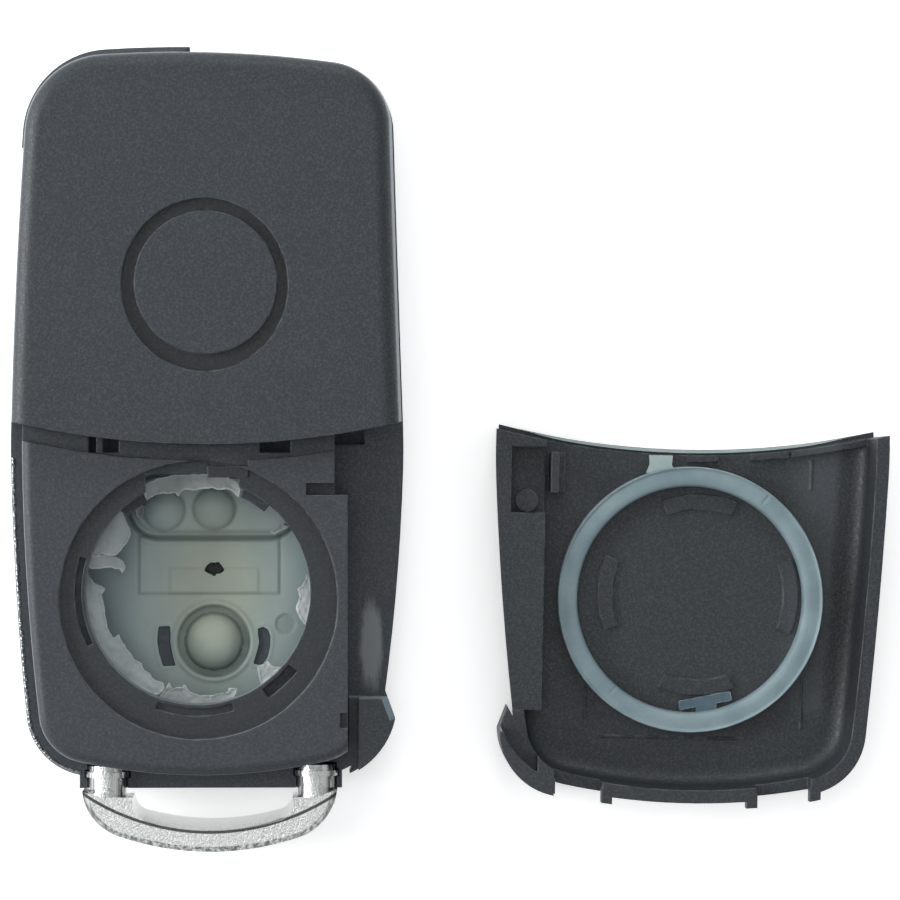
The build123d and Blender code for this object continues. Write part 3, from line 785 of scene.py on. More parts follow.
@dataclass(frozen=True)
class Metal(Finish):
    """Plated or bare metal with fine marks, and a rough cast face where it has one, with painted shade on its
    sloping faces and along chosen edges.
    """

    cast: bool = False
    cast_depth: float = 0.00007
    pit: Colour = (0.25, 0.26, 0.26, 1.0)
    # The colour of the painted shade on sloping faces.
    slope: Colour = (0.10, 0.105, 0.11, 1.0)
    pit_share: float = 0.75
    edge: float = 0.00015
    patches: float = 900.0
    scratch_scale: float = 2400.0
    scratch_depth: float = 0.00001
    coarse_scale: float = 7500.0
    sand_scale: float = 13000.0
    sand_share: float = 0.3
    streaks: Triple = (3200.0, 260.0, 3200.0)
    # Lines of painted shade, such as the edge round a hole.
    shade_lines: tuple[ShadedRecess, ...] = ()

    def build(self, effects: SharedEffects) -> bpy.types.Material:
        """Makes the material.

        Args:
            effects: The shared shader groups.

        Returns:
            The new material.
        """
        material, wire, shader = self.start()
        shader.inputs["Metallic"].default_value = 1.0
        place = wire.place()
        marks = wire.cloud(place, self.scratch_scale, 4.0, 0.65)
        polished = wire.ramp(marks, 0.3, 0.75, self.roughness - 0.05, self.roughness + 0.1)
        if not self.cast:
            wire.feed(shader.inputs["Roughness"], polished)
            rubbed = effects.use(wire, effects.rubbed, place, Reach=self.edge, Patches=self.patches)
            self.bump(wire, shader, marks, self.scratch_depth, rubbed.outputs["Normal"])
            return material
        facing = wire.split(wire.add("ShaderNodeNewGeometry").outputs["Normal"])[2]
        tilt = wire.maths("ABSOLUTE", facing)
        level = wire.ramp(tilt, 0.9, 0.99)
        coarse = effects.use(wire, effects.grain, place, Scale=self.coarse_scale)
        sand = effects.use(wire, effects.grain, place, Scale=self.sand_scale)
        height = wire.maths(
            "MULTIPLY_ADD", sand.outputs["Height"], self.sand_share, coarse.outputs["Height"])
        pits = wire.ramp(height, 1.15, 0.6)
        tone = wire.blend(wire.both(wire.both(pits, level), self.pit_share), self.colour, self.pit)
        # Painted shade: a darker, streaked tone on the faces that slope away.
        sloping = wire.both(wire.ramp(tilt, 0.93, 0.72), wire.ramp(tilt, 0.25, 0.4))
        streaks = wire.cloud(wire.drawn_out(place, self.streaks), 1.0, 3.0, 0.6)
        streaks = wire.ramp(streaks, 0.25, 0.7, 0.2, 1.0)
        tone = wire.blend(wire.both(sloping, streaks), tone, self.slope)
        # Painted shade along the listed edges, such as round the loop's hole.
        for line in self.shade_lines:
            tone = wire.blend(line.mask(wire, place), tone, line.colour)
        worn = wire.maths("MULTIPLY_ADD", level, 0.2, polished)
        wire.fill(shader, {"Base Color": tone, "Roughness": worn})
        rough = wire.both(height, wire.maths("MULTIPLY_ADD", level, 0.96, 0.04))
        self.bump(wire, shader, rough, self.cast_depth)
        return material


@dataclass(frozen=True)
class PaleFloor(Finish):
    """The white table that everything lies on."""

    lift: float = 0.42

    def build(self) -> bpy.types.Material:
        """Makes the material, which looks a little brighter to the camera than the light makes it.

        Returns:
            The new material.
        """
        material, wire, shader = self.start()
        path = wire.add("ShaderNodeLightPath")
        seen = wire.maths("MAXIMUM", path.outputs["Is Camera Ray"], path.outputs["Is Glossy Ray"])
        seen = wire.maths("MAXIMUM", seen, path.outputs["Is Transmission Ray"])
        wire.fill(shader, {
            "Emission Color": (1.0, 1.0, 1.0, 1.0), "Emission Strength": wire.both(seen, self.lift),
            "Specular IOR Level": 0.1})
        return material


class Finishes:
    """Every finish on the fob, built once."""

    def __init__(self) -> None:
        """Builds the shared effects and the materials."""
        effects = SharedEffects()
        plain = partial(MouldedPlastic, roughness=0.5)
        # Painted shade on the floor of the cover's round groove and on the frame's ring round the well.
        groove = ShadedRecess((-0.05, 14.45), 6.42, 8.0, 14.8, 15.3, 0.75)
        rim = ShadedRecess((-0.7, -14.1), 9.0, 12.62, 10.9, 12.2, 0.5)
        # Painted pale reflections on two sloping faces, one on the shell and one on the battery cover.
        shell_reflection = FacetReflection(Home.FOB, (16.75, -23.9, 9.2))
        lid_reflection = FacetReflection(Home.LID, (16.7, -25.2, 7.5))
        # The cover, the shell and the frame get a painted sheen at grazing angles.
        self.cover = plain(
            "cover_charcoal", (0.018, 0.024, 0.030, 1.0), sheen=0.85, recesses=(groove,)).build(effects)
        self.shell = BedPlastic(
            "bed_charcoal", (0.025, 0.032, 0.039, 1.0), 0.44, sheen=0.85,
            reflections=(shell_reflection,)).build(effects)
        self.frame = plain(
            "frame_charcoal", (0.025, 0.031, 0.038, 1.0), sheen=0.7, recesses=(rim,)).build(effects)
        self.lid = LidPlastic(
            "lid_charcoal", (0.017, 0.022, 0.027, 1.0), 0.5, reflections=(lid_reflection,)).build(effects)
        self.caps = plain("cap_black", (0.014, 0.015, 0.016, 1.0), dust=0.0).build(effects)
        self.keypad = KeypadRubber("keypad_pale", (0.36, 0.445, 0.42, 1.0), 0.42).build(effects)
        self.flash = SoftRing(
            "torn_flash", (0.245, 0.275, 0.272, 1.0), 0.5, (0.34, 0.37, 0.365, 1.0),
            (0.45, 0.48, 0.47, 1.0), 0.00004).build(effects)
        # A paler copy of the flash that paints light onto the flaps at the well's left, which lie in shade.
        self.lit_left_flash = SoftRing(
            "lit_left_flash", (0.29, 0.33, 0.33, 1.0), 0.5, (0.37, 0.41, 0.41, 1.0),
            (0.5, 0.53, 0.52, 1.0), 0.00004).build(effects)
        self.flash_rim = SoftRing(
            "torn_rim", (0.36, 0.40, 0.39, 1.0), 0.45, (0.48, 0.52, 0.5, 1.0),
            (0.6, 0.63, 0.62, 1.0)).build(effects)
        self.seal = SoftRing(
            "seal_pale", (0.155, 0.22, 0.245, 1.0), 0.6, (0.21, 0.285, 0.305, 1.0)).build(effects)
        self.runner = SoftRing(
            "runner_pale", (0.31, 0.39, 0.39, 1.0), 0.45, (0.38, 0.46, 0.45, 1.0)).build(effects)
        self.blue = SoftRing(
            "flash_blue", (0.04, 0.08, 0.105, 1.0), 0.45, (0.07, 0.12, 0.15, 1.0)).build(effects)
        # A painted dark line of shade along the inner edge of the loop's face, round its hole.
        hole_edge_shade = ShadedRecess(
            (0.3, -14.55), 20.62, 20.82, -1.0, 20.0, 0.9, colour=(0.02, 0.022, 0.025, 1.0))
        self.nickel = Metal(
            "cast_nickel", (0.70, 0.72, 0.70, 1.0), 0.16, cast=True, shade_lines=(hole_edge_shade,)).build(effects)
        self.burr = Metal(
            "silver_burr", (0.31, 0.33, 0.35, 1.0), 0.35, cast=True, cast_depth=0.0002,
            pit=(0.1, 0.105, 0.11, 1.0)).build(effects)
        self.chrome = Metal("release_bright", (0.62, 0.62, 0.63, 1.0), 0.18).build(effects)
        self.head = Metal("head_zinc", (0.36, 0.37, 0.38, 1.0), 0.38).build(effects)
        self.steel = Metal("spring_steel", (0.48, 0.48, 0.49, 1.0), 0.28).build(effects)
        self.slate = plain("slot_slate", (0.05, 0.066, 0.08, 1.0), dust=0.0).build(effects)
        self.pin = plain("pin_blackened", (0.006, 0.007, 0.009, 1.0), dust=0.0, speckle=0.08).build(effects)
        self.floor = PaleFloor("pale_table", (0.93, 0.93, 0.93, 1.0), 0.7).build()


def polygon_distance(outline: Sequence[Flat]) -> Field:
    """Makes a field that is positive inside a closed outline and falls by the distance outside.

    Args:
        outline: The corners in order, in millimetres.

    Returns:
        The field, which takes and gives arrays.
    """
    corners = np.array(outline, float)
    ends = np.roll(corners, -1, axis=0)

    def measure(x: np.ndarray, y: np.ndarray) -> np.ndarray:
        """Gives the signed distance of every point.

        Args:
            x: Across, in millimetres.
            y: Along, in millimetres.

        Returns:
            The distances, positive inside.
        """
        best = np.full(x.shape, 1e9)
        inside = np.zeros(x.shape, bool)
        for (ax, ay), (bx, by) in zip(corners, ends):
            dx, dy = bx - ax, by - ay
            along = np.clip(((x - ax) * dx + (y - ay) * dy) / max(dx * dx + dy * dy, 1e-12), 0, 1)
            best = np.minimum(best, np.hypot(x - ax - along * dx, y - ay - along * dy))
            if ay != by:
                crosses = ((ay > y) != (by > y)) & (x < dx * (y - ay) / dy + ax)
                inside ^= crosses
        return np.where(inside, best, -best)

    return measure


def slot_distance(x: np.ndarray, y: np.ndarray, centre: Flat, length: float, radius: float) -> np.ndarray:
    """Gives the distance from a long rounded outline, negative inside it."""
    half = length / 2 - radius
    return np.hypot(np.maximum(np.abs(x - centre[0]) - half, 0), y - centre[1]) - radius


def smooth(value: np.ndarray, low: float, high: float) -> np.ndarray:
    """Rises smoothly from 0 to 1 between two values."""
    share = np.clip((value - low) / (high - low), 0, 1)
    return share * share * (3 - 2 * share)


def ridge(value: np.ndarray, centre: float, half: float) -> np.ndarray:
    """Gives a smooth ridge of height 1 at a value."""
    return np.exp(-(((value - centre) / half) ** 2))


def ridges(value: np.ndarray, rows: Sequence[Triple]) -> np.ndarray:
    """Adds up smooth ridges, each given by its height, its place and its half width."""
    return sum(height * ridge(value, centre, half) for height, centre, half in rows)


def unevenness(x: np.ndarray, y: np.ndarray, size: float, seed: float) -> np.ndarray:
    """Gives slow noise between about -1 and 1 over a sheet.

    Args:
        x: Across, in millimetres.
        y: Along, in millimetres.
        size: The size of a swell, in millimetres.
        seed: Where the noise is read.

    Returns:
        The noise of every point.
    """
    values = [
        noise.noise(Vector((a / size + seed, b / size - seed, seed)))
        for a, b in zip(x.ravel(), y.ravel())]
    return np.array(values).reshape(x.shape)


def flat(level: float) -> Field:
    """Gives the field of a level face."""
    return lambda x, y: np.full(x.shape, level)


def uneven(level: float, depth: float, size: float, seed: float) -> Field:
    """Gives the field of a face that rises and falls a little about its level."""
    return lambda x, y: level + depth * unevenness(x, y, size, seed)


def box_round(outline: Sequence[Flat], margin: float) -> tuple[Flat, Flat]:
    """Gives the low and the high corner of a box round an outline."""
    xs, ys = zip(*outline)
    return (min(xs) - margin, min(ys) - margin), (max(xs) + margin, max(ys) + margin)


def distance_to(x: np.ndarray, y: np.ndarray, spot: Flat) -> np.ndarray:
    """Gives the distance of every point from one spot."""
    return np.hypot(x - spot[0], y - spot[1])


def tear(outline: Sequence[Flat], step: float, depth: float, seed: float) -> list[Flat]:
    """Cuts an outline into short lengths and moves their ends to make a torn edge.

    Args:
        outline: The corners of the plain outline.
        step: The length of each short piece, in millimetres.
        depth: How far an end may move, in millimetres.
        seed: Where the noise is read, so that it is the same each time.

    Returns:
        The corners of the torn outline.
    """
    torn: list[Flat] = []
    for (ax, ay), (bx, by) in zip(outline, [*outline[1:], outline[0]]):
        length = math.hypot(bx - ax, by - ay)
        count = max(1, round(length / step))
        for index in range(count):
            share = index / count
            x, y = ax + (bx - ax) * share, ay + (by - ay) * share
            shift = noise.noise(Vector((x * 3.1 + seed, y * 3.1, seed)))
            shift += 0.5 * noise.noise(Vector((x * 9, y * 9, seed)))
            torn.append((x - (by - ay) / length * shift * depth, y + (bx - ax) / length * shift * depth))
    return torn


def piece_from(
    name: str, points: Sequence, faces: Sequence, materials: Sequence[bpy.types.Material],
    sharp_from: float = 0.0,
) -> bpy.types.Object:
    """Makes one object from its points and faces.

    Args:
        name: The name of the object and its mesh.
        points: The points, in metres.
        faces: The faces, as indices of the points.
        materials: The materials, in the order of their slots.
        sharp_from: The angle in degrees above which an edge stays sharp, or 0 for flat faces.

    Returns:
        The new object.
    """
    mesh = bpy.data.meshes.new(name)
    mesh.from_pydata([tuple(point) for point in points], [], faces)
    for material in materials:
        mesh.materials.append(material)
    work = bmesh.new()
    work.from_mesh(mesh)
    bmesh.ops.recalc_face_normals(work, faces=work.faces)
    if sharp_from:
        for face in work.faces:
            face.smooth = True
        for line in work.edges:
            if line.calc_face_angle(0.0) > math.radians(sharp_from):
                line.smooth = False
    work.to_mesh(mesh)
    work.free()
    piece = bpy.data.objects.new(name, mesh)
    bpy.context.scene.collection.objects.link(piece)
    return piece


def between_rows(rows: int, size: int, closed: bool = False, tube: bool = False) -> list[tuple[int, ...]]:
    """Gives the faces between rows of points that follow one another.

    Args:
        rows: The number of rows.
        size: The points in each row.
        closed: Whether the last row joins the first.
        tube: Whether the end of each row joins its start.

    Returns:
        The faces, as indices of the points.
    """
    faces = []
    for number in range(rows if closed else rows - 1):
        here, after = number * size, (number + 1) % rows * size
        for side in range(size if tube else size - 1):
            following = (side + 1) % size
            faces.append((here + side, here + following, after + following, after + side))
    return faces


@dataclass
class Sheet:
    """A thin moulded sheet made on a fine grid, with a true edge where its outline runs."""

    name: str
    home: Home
    inside: Field
    top: Field
    bottom: Field
    low: Flat
    high: Flat
    cell: float = 0.15
    rim: float = 0.0
    # The painted crease shade of each point, where the sheet has one.
    crease_shade: Field | None = None
    overhang: float = 0.45
    probe: float = 0.02
    sharp_from: float = 50.0

    def build(self, materials: Sequence[bpy.types.Material]) -> bpy.types.Object:
        """Makes the sheet's mesh.

        Args:
            materials: The body's material, and the rim's where the sheet has one.

        Returns:
            The new object.
        """
        xs = np.arange(self.low[0], self.high[0] + self.cell, self.cell)
        ys = np.arange(self.low[1], self.high[1] + self.cell, self.cell)
        x, y = np.meshgrid(xs, ys, indexing="ij")
        near = self.inside(x, y)
        fits = near > -self.overhang * self.cell
        cells = fits[:-1, :-1] & fits[1:, :-1] & fits[:-1, 1:] & fits[1:, 1:]
        used = np.zeros(x.shape, bool)
        full = np.ones(x.shape, bool)
        for i, j in ((0, 0), (1, 0), (0, 1), (1, 1)):
            block = (slice(i, x.shape[0] - 1 + i), slice(j, x.shape[1] - 1 + j))
            used[block] |= cells
            full[block] &= cells
        full[0, :] = full[-1, :] = False
        full[:, 0] = full[:, -1] = False
        edge = used & ~full
        step = self.probe
        for _ in range(2):
            dx = (self.inside(x[edge] + step, y[edge]) - self.inside(x[edge] - step, y[edge])) / (2 * step)
            dy = (self.inside(x[edge], y[edge] + step) - self.inside(x[edge], y[edge] - step)) / (2 * step)
            here = np.clip(self.inside(x[edge], y[edge]), -self.cell, self.cell)
            size = np.maximum(np.hypot(dx, dy), 0.5)
            x[edge] -= here * dx / size**2
            y[edge] -= here * dy / size**2
        over, under = self.top(x, y), self.bottom(x, y)
        index = np.full(x.shape, -1)
        index[used] = np.arange(used.sum())
        count = int(used.sum())
        points = [ROW.point(self.home, *p) for p in zip(x[used], y[used], over[used])]
        points += [ROW.point(self.home, *p) for p in zip(x[used], y[used], under[used])]
        a, b = index[:-1, :-1][cells], index[1:, :-1][cells]
        c, d = index[1:, 1:][cells], index[:-1, 1:][cells]
        tops = np.stack([a, b, c, d], axis=1)
        middle = near[:-1, :-1][cells]
        faces = [tuple(f) for f in tops.tolist()]
        faces += [tuple(count + v for v in reversed(f)) for f in tops.tolist()]
        seen: dict[tuple[int, int], tuple[int, int]] = {}
        for face in tops.tolist():
            for p, q in zip(face, face[1:] + face[:1]):
                key = (min(p, q), max(p, q))
                if key in seen:
                    seen[key] = (-1, -1)
                else:
                    seen[key] = (p, q)
        walls = [(q, p, p + count, q + count) for p, q in seen.values() if p >= 0]
        piece = piece_from(self.name, points, faces + walls, materials, self.sharp_from)
        # Stores the painted crease shade as a point attribute.
        if self.crease_shade:
            shade = piece.data.attributes.new(CREASE_SHADE, "FLOAT", "POINT")
            depths = self.crease_shade(x, y)[used]
            shade.data.foreach_set("value", np.concatenate([depths, 0 * depths]).astype(np.float32))
        last = len(materials) - 1
        for number, face in enumerate(piece.data.polygons):
            on_rim = self.rim and number < len(middle) and middle[number] < self.rim
            if number >= len(faces) or on_rim:
                face.material_index = last
        return piece


def placed(piece: bpy.types.Object, body: str = "fob") -> bpy.types.Object:
    """Lets the piece ride on its body and logs its faces.

    Args:
        piece: The piece.
        body: The body that it moves with.

    Returns:
        The same piece.
    """
    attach(piece, body)
    LOG.info("%s: %d faces, rides on %s", piece.name, len(piece.data.polygons), body)
    return piece


@dataclass
class KeypadSkin:
    """The pale soft keypad as it is seen through the well, from the rubber side."""

    low: float = 2.7
    high: float = 3.5
    left: float = -12.6
    right: float = 10.8
    top: float = -1.45
    foot: float = -27.1
    corner: float = 3.0
    cell: float = 0.14
    slot_drop: float = 0.28
    slot_centre: Flat = (0.5, -5.75)
    slot_size: Flat = (15.2, 5.1)
    slot_groove: tuple[Triple, ...] = ((-0.28, 0.38, 0.16), (0.12, 0.02, 0.14), (0.05, 0.8, 0.15))
    slot_tone: tuple[Triple, ...] = ((0.85, 0.38, 0.2), (0.3, -0.2, 0.14))
    bumps: tuple[Flat, Flat] = ((-4.15, -6.05), (0.5, -5.95))
    bump_radius: float = 1.95
    bump_height: float = 0.8
    dome_at: Flat = (0.48, -18.2)
    dome_radius: float = 2.62
    dome_height: float = 1.25
    moat_radius: float = 3.36
    moat_depth: float = 0.42
    plate: Box = (-6.4, 6.5, -13.75, -8.55)
    plate_inner: Box = (-3.55, 4.6, -13.7, -11.5)
    ejector: Flat = (7.1, -16.6)
    gate: tuple[Flat, ...] = (
        (-0.41, -11.68), (-0.23, -11.24), (0.21, -10.87), (0.57, -10.94), (0.92, -10.83), (1.24, -11.22),
        (1.49, -11.66), (1.01, -11.98), (0.74, -11.89), (0.5, -12.36), (0.3, -12.04), (-0.11, -11.89))
    left_slot: tuple[Flat, ...] = (
        (-4.62, -16.82), (-3.6, -16.78), (-3.51, -17.47), (-3.54, -18.27), (-3.37, -19.33), (-3.06, -20.45),
        (-4.22, -20.5), (-4.57, -19.33), (-4.75, -18.27), (-4.71, -17.47))
    right_slot: tuple[Flat, ...] = (
        (4.55, -17.03), (5.03, -16.85), (5.49, -17.12), (5.7, -17.74), (5.67, -18.71), (5.44, -19.69),
        (5.0, -20.31), (4.64, -20.4), (4.11, -20.27), (4.46, -19.16), (4.68, -18.27), (4.57, -17.65))

    def inside(self, x: np.ndarray, y: np.ndarray) -> np.ndarray:
        """Gives the distance to the nearest edge of the sheet or of a hole in it.

        Args:
            x: Across, in millimetres.
            y: Along, in millimetres.

        Returns:
            The distances, positive in the material.
        """
        centre = ((self.left + self.right) / 2, (self.top + self.foot) / 2)
        half = ((self.right - self.left) / 2 - self.corner, (self.top - self.foot) / 2 - self.corner)
        away = np.hypot(
            np.maximum(np.abs(x - centre[0]) - half[0], 0), np.maximum(np.abs(y - centre[1]) - half[1], 0))
        field_value = self.corner - away
        for hole in (self.gate, self.left_slot, self.right_slot):
            field_value = np.minimum(field_value, -polygon_distance(hole)(x, y))
        return field_value

    @staticmethod
    def _box_edge(x: np.ndarray, y: np.ndarray, box: Box) -> np.ndarray:
        """Gives the distance inside a box, negative outside."""
        left, right, foot, top = box
        return np.minimum(np.minimum(x - left, right - x), np.minimum(y - foot, top - y))

    def height(self, x: np.ndarray, y: np.ndarray) -> np.ndarray:
        """Gives the height of the sheet's upper face.

        Args:
            x: Across, in millimetres.
            y: Along, in millimetres.

        Returns:
            The heights, in millimetres.
        """
        level = np.full(x.shape, self.high) + 0.035 * unevenness(x, y, 4.0, 3.3)
        oblong = slot_distance(x, y, self.slot_centre, self.slot_size[0], self.slot_size[1] / 2)
        level += ridges(oblong, self.slot_groove) - 0.1 * smooth(-oblong, 0.1, 0.6)
        for bump in self.bumps:
            share = np.clip(1 - (distance_to(x, y, bump) / self.bump_radius) ** 2, 0, 1)
            level += self.bump_height * share**0.62
        plate = self._box_edge(x, y, self.plate)
        level += 0.06 * smooth(plate, -0.05, 0.12) - 0.07 * ridge(plate, -0.12, 0.1)
        level += 0.05 * smooth(self._box_edge(x, y, self.plate_inner), -0.05, 0.12)
        far = distance_to(x, y, self.dome_at)
        moat = smooth(-far, -self.moat_radius - 0.06, -self.moat_radius + 0.14)
        level -= self.moat_depth * moat
        share = np.clip(1 - (far / self.dome_radius) ** 2, 0, 1)
        level += (self.dome_height + self.moat_depth) * share**0.45
        level += 0.09 * ridge(far, self.moat_radius + 0.22, 0.14)
        level -= 0.1 * smooth(-distance_to(x, y, self.ejector), -0.98, -0.84)
        for hole in (self.left_slot, self.right_slot):
            level += 0.07 * ridge(polygon_distance(hole)(x, y), -0.16, 0.14)
        return level

    def crease_shade(self, x: np.ndarray, y: np.ndarray) -> np.ndarray:
        """Gives how deep in a groove each point lies, from 0 to 1, for the painted shade there.

        Args:
            x: Across, in millimetres.
            y: Along, in millimetres.

        Returns:
            The shares.
        """
        oblong = slot_distance(x, y, self.slot_centre, self.slot_size[0], self.slot_size[1] / 2)
        share = ridges(oblong, self.slot_tone)
        share += 0.35 * ridge(self._box_edge(x, y, self.plate), -0.1, 0.12)
        share += 0.2 * ridge(self._box_edge(x, y, self.plate_inner), -0.05, 0.1)
        far = distance_to(x, y, self.dome_at)
        moat = smooth(far, self.dome_radius - 0.25, self.dome_radius + 0.1) * smooth(-far, -3.45, -3.2)
        share += 0.8 * moat + 0.25 * ridge(far, 3.85, 0.16)
        for bump in self.bumps:
            share += 0.3 * ridge(distance_to(x, y, bump), self.bump_radius, 0.2)
        share += 0.28 * smooth(-distance_to(x, y, self.ejector), -1.0, -0.85)
        return np.clip(share, 0, 1)

    def build(self, finishes: Finishes) -> None:
        """Makes the keypad, which stands for the plain solid, and the floors of its arc slots.

        Args:
            finishes: The finishes to choose from.
        """
        sheet = Sheet(
            "keypad_skin", Home.FOB, self.inside, self.height, flat(self.low),
            (self.left, self.foot), (self.right, self.top), self.cell, crease_shade=self.crease_shade)
        piece = sheet.build([finishes.keypad])
        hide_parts("keypad_membrane")
        placed(piece)
        for name, outline in (("left_slot_floor", self.left_slot), ("right_slot_floor", self.right_slot)):
            floor = Sheet(
                name, Home.FOB, polygon_distance(outline), uneven(self.high - self.slot_drop, 0.06, 0.7, 5.0),
                flat(self.low + 0.1), *box_round(outline, 0.2), 0.1)
            placed(floor.build([finishes.slate]))


@dataclass
class Flap:
    """One torn flap of flash: its outline and where it hangs."""

    name: str
    outline: tuple[Flat, ...]
    outer: float = 8.85
    inner: float = 8.0
    thickness: float = 0.22


@dataclass
class WellFlash:
    """The torn grey flash round the foot of the battery well."""

    centre: Flat = (-0.8, -13.4)
    radius: float = 10.2
    droop: Flat = (0.2, 3.4)
    ceiling: float = 8.98
    tear_step: float = 0.16
    tear_depth: float = 0.09
    margin: float = 0.3
    cell: float = 0.09
    rim: float = 0.1
    # The flaps that wear the paler copy of the flash, painted lighter because they lie in shade.
    brightened_flaps: tuple[str, ...] = ("flash_lobe", "flash_fold", "flash_left")
    flaps: tuple[Flap, ...] = (
        Flap("flash_top", (
            (-5.68, -5.19), (-5.77, -4.05), (-5.51, -3.6), (-4.37, -3.1), (-2.97, -2.8), (-0.35, -2.7),
            (1.57, -2.85), (2.71, -3.4), (2.97, -4.05), (2.9, -5.01), (2.36, -4.31), (1.74, -4.05),
            (1.05, -4.19), (0.35, -3.96), (-0.18, -4.05), (-1.23, -4.19), (-2.1, -4.14), (-2.45, -4.4),
            (-2.62, -4.75), (-2.97, -4.4), (-3.5, -4.49), (-4.02, -4.44), (-4.72, -4.66), (-5.25, -4.93))),
        Flap("flash_lobe", (
            (-8.48, -5.62), (-7.69, -6.24), (-7.52, -6.67), (-7.13, -7.55), (-6.99, -8.07), (-7.26, -8.95),
            (-7.87, -9.64), (-8.39, -10.17), (-9.62, -10.03), (-10.14, -10.26), (-10.84, -10.17),
            (-11.6, -9.99), (-11.5, -9.29), (-11.2, -8.5), (-10.3, -7.1), (-9.5, -6.2)), inner=8.4),
        Flap("flash_fold", (
            (-10.14, -10.26), (-9.7, -10.12), (-8.92, -10.13), (-8.22, -10.34), (-7.69, -10.69),
            (-7.48, -11.22), (-7.78, -11.88), (-8.04, -11.43), (-8.92, -11.25), (-9.88, -11.32),
            (-10.58, -11.32), (-11.2, -11.0), (-11.6, -10.52), (-11.7, -9.99), (-10.84, -10.17)), inner=7.4),
        Flap("flash_left", (
            (-11.5, -10.87), (-10.93, -10.95), (-10.84, -11.74), (-10.31, -12.62), (-9.7, -12.88),
            (-9.23, -13.17), (-9.65, -13.66), (-9.41, -14.71), (-9.27, -15.76), (-9.13, -16.64),
            (-8.57, -17.68), (-8.04, -17.25), (-7.87, -17.86), (-7.43, -18.56), (-6.91, -19.08),
            (-6.73, -19.61), (-5.95, -19.96), (-5.77, -20.65), (-5.25, -20.83), (-4.9, -21.35),
            (-4.02, -21.79), (-3.85, -22.23), (-4.37, -22.8), (-4.9, -22.9), (-5.95, -22.3), (-7.3, -21.8),
            (-8.8, -20.9), (-10.3, -18.9), (-11.2, -16.3), (-11.6, -13.66))),
        Flap("flash_foot", (
            (-5.16, -23.4), (-4.37, -23.01), (-3.76, -22.23), (-3.5, -21.7), (-3.15, -22.32),
            (-2.8, -22.14), (-2.28, -22.14), (-2.1, -21.79), (-1.84, -22.23), (-1.4, -22.66),
            (-0.53, -22.93), (0.52, -22.84), (1.4, -22.66), (1.92, -22.58), (1.92, -22.23), (2.27, -22.23),
            (2.79, -22.32), (2.53, -22.93), (2.36, -23.59), (2.09, -23.7), (0.52, -23.9), (-0.88, -23.9),
            (-2.97, -23.7), (-3.85, -23.6)), inner=8.5),
        Flap("flash_lower_right", (
            (4.54, -20.31), (5.07, -20.13), (5.5, -19.78), (5.94, -20.22), (6.9, -20.34), (6.1, -21.0),
            (4.89, -21.9), (4.63, -20.74))),
        Flap("flash_right", (
            (8.21, -13.14), (8.65, -12.96), (8.91, -12.27), (9.0, -11.74), (9.6, -12.62), (9.6, -13.66),
            (9.5, -14.71), (9.3, -15.94), (8.82, -16.46), (8.21, -15.41), (8.12, -14.8), (8.39, -14.01))),
        Flap("flash_slot_left", (
            (-6.87, -5.69), (-6.43, -5.61), (-5.89, -5.69), (-6.07, -6.58), (-6.25, -7.07), (-6.69, -6.44)),
            outer=3.75, inner=3.75),
        Flap("flash_slot_right", (
            (5.62, -8.08), (6.41, -7.55), (6.86, -7.25), (7.33, -7.68), (6.59, -8.03), (6.06, -8.31)),
            outer=3.75, inner=3.75),
    )

    def _make(self, number: int, flap: Flap, finishes: Finishes) -> None:
        """Makes one flap from its torn outline.

        Args:
            number: Its place in the row of flaps, which seeds its noise.
            flap: The flap.
            finishes: The finishes to choose from.
        """
        seed = 1.7 * number + 0.4
        measure = polygon_distance(tear(flap.outline, self.tear_step, self.tear_depth, seed))

        def top(x: np.ndarray, y: np.ndarray) -> np.ndarray:
            """Gives the flap's upper face, which droops inwards and curls at its torn edge.

            Args:
                x: Across, in millimetres.
                y: Along, in millimetres.

            Returns:
                The heights, in millimetres.
            """
            far = distance_to(x, y, self.centre)
            slope = smooth(self.radius - far, *self.droop)
            level = flap.outer + (flap.inner - flap.outer) * slope
            level = level + 0.09 * unevenness(x, y, 0.9, seed) + 0.05 * unevenness(x, y, 0.35, seed)
            return np.minimum(level + 0.09 * ridge(measure(x, y), 0.05, 0.12), self.ceiling)

        sheet = Sheet(
            flap.name, Home.FOB, measure, top, lambda x, y: top(x, y) - flap.thickness,
            *box_round(flap.outline, self.margin), self.cell, rim=self.rim)
        # The flaps in shade at the well's left get the paler copy, as painted light.
        face = finishes.lit_left_flash if flap.name in self.brightened_flaps else finishes.flash
        placed(sheet.build([face, finishes.flash_rim]))

    def build(self, finishes: Finishes) -> None:
        """Makes every flap."""
        for number, flap in enumerate(self.flaps):
            self._make(number, flap, finishes)


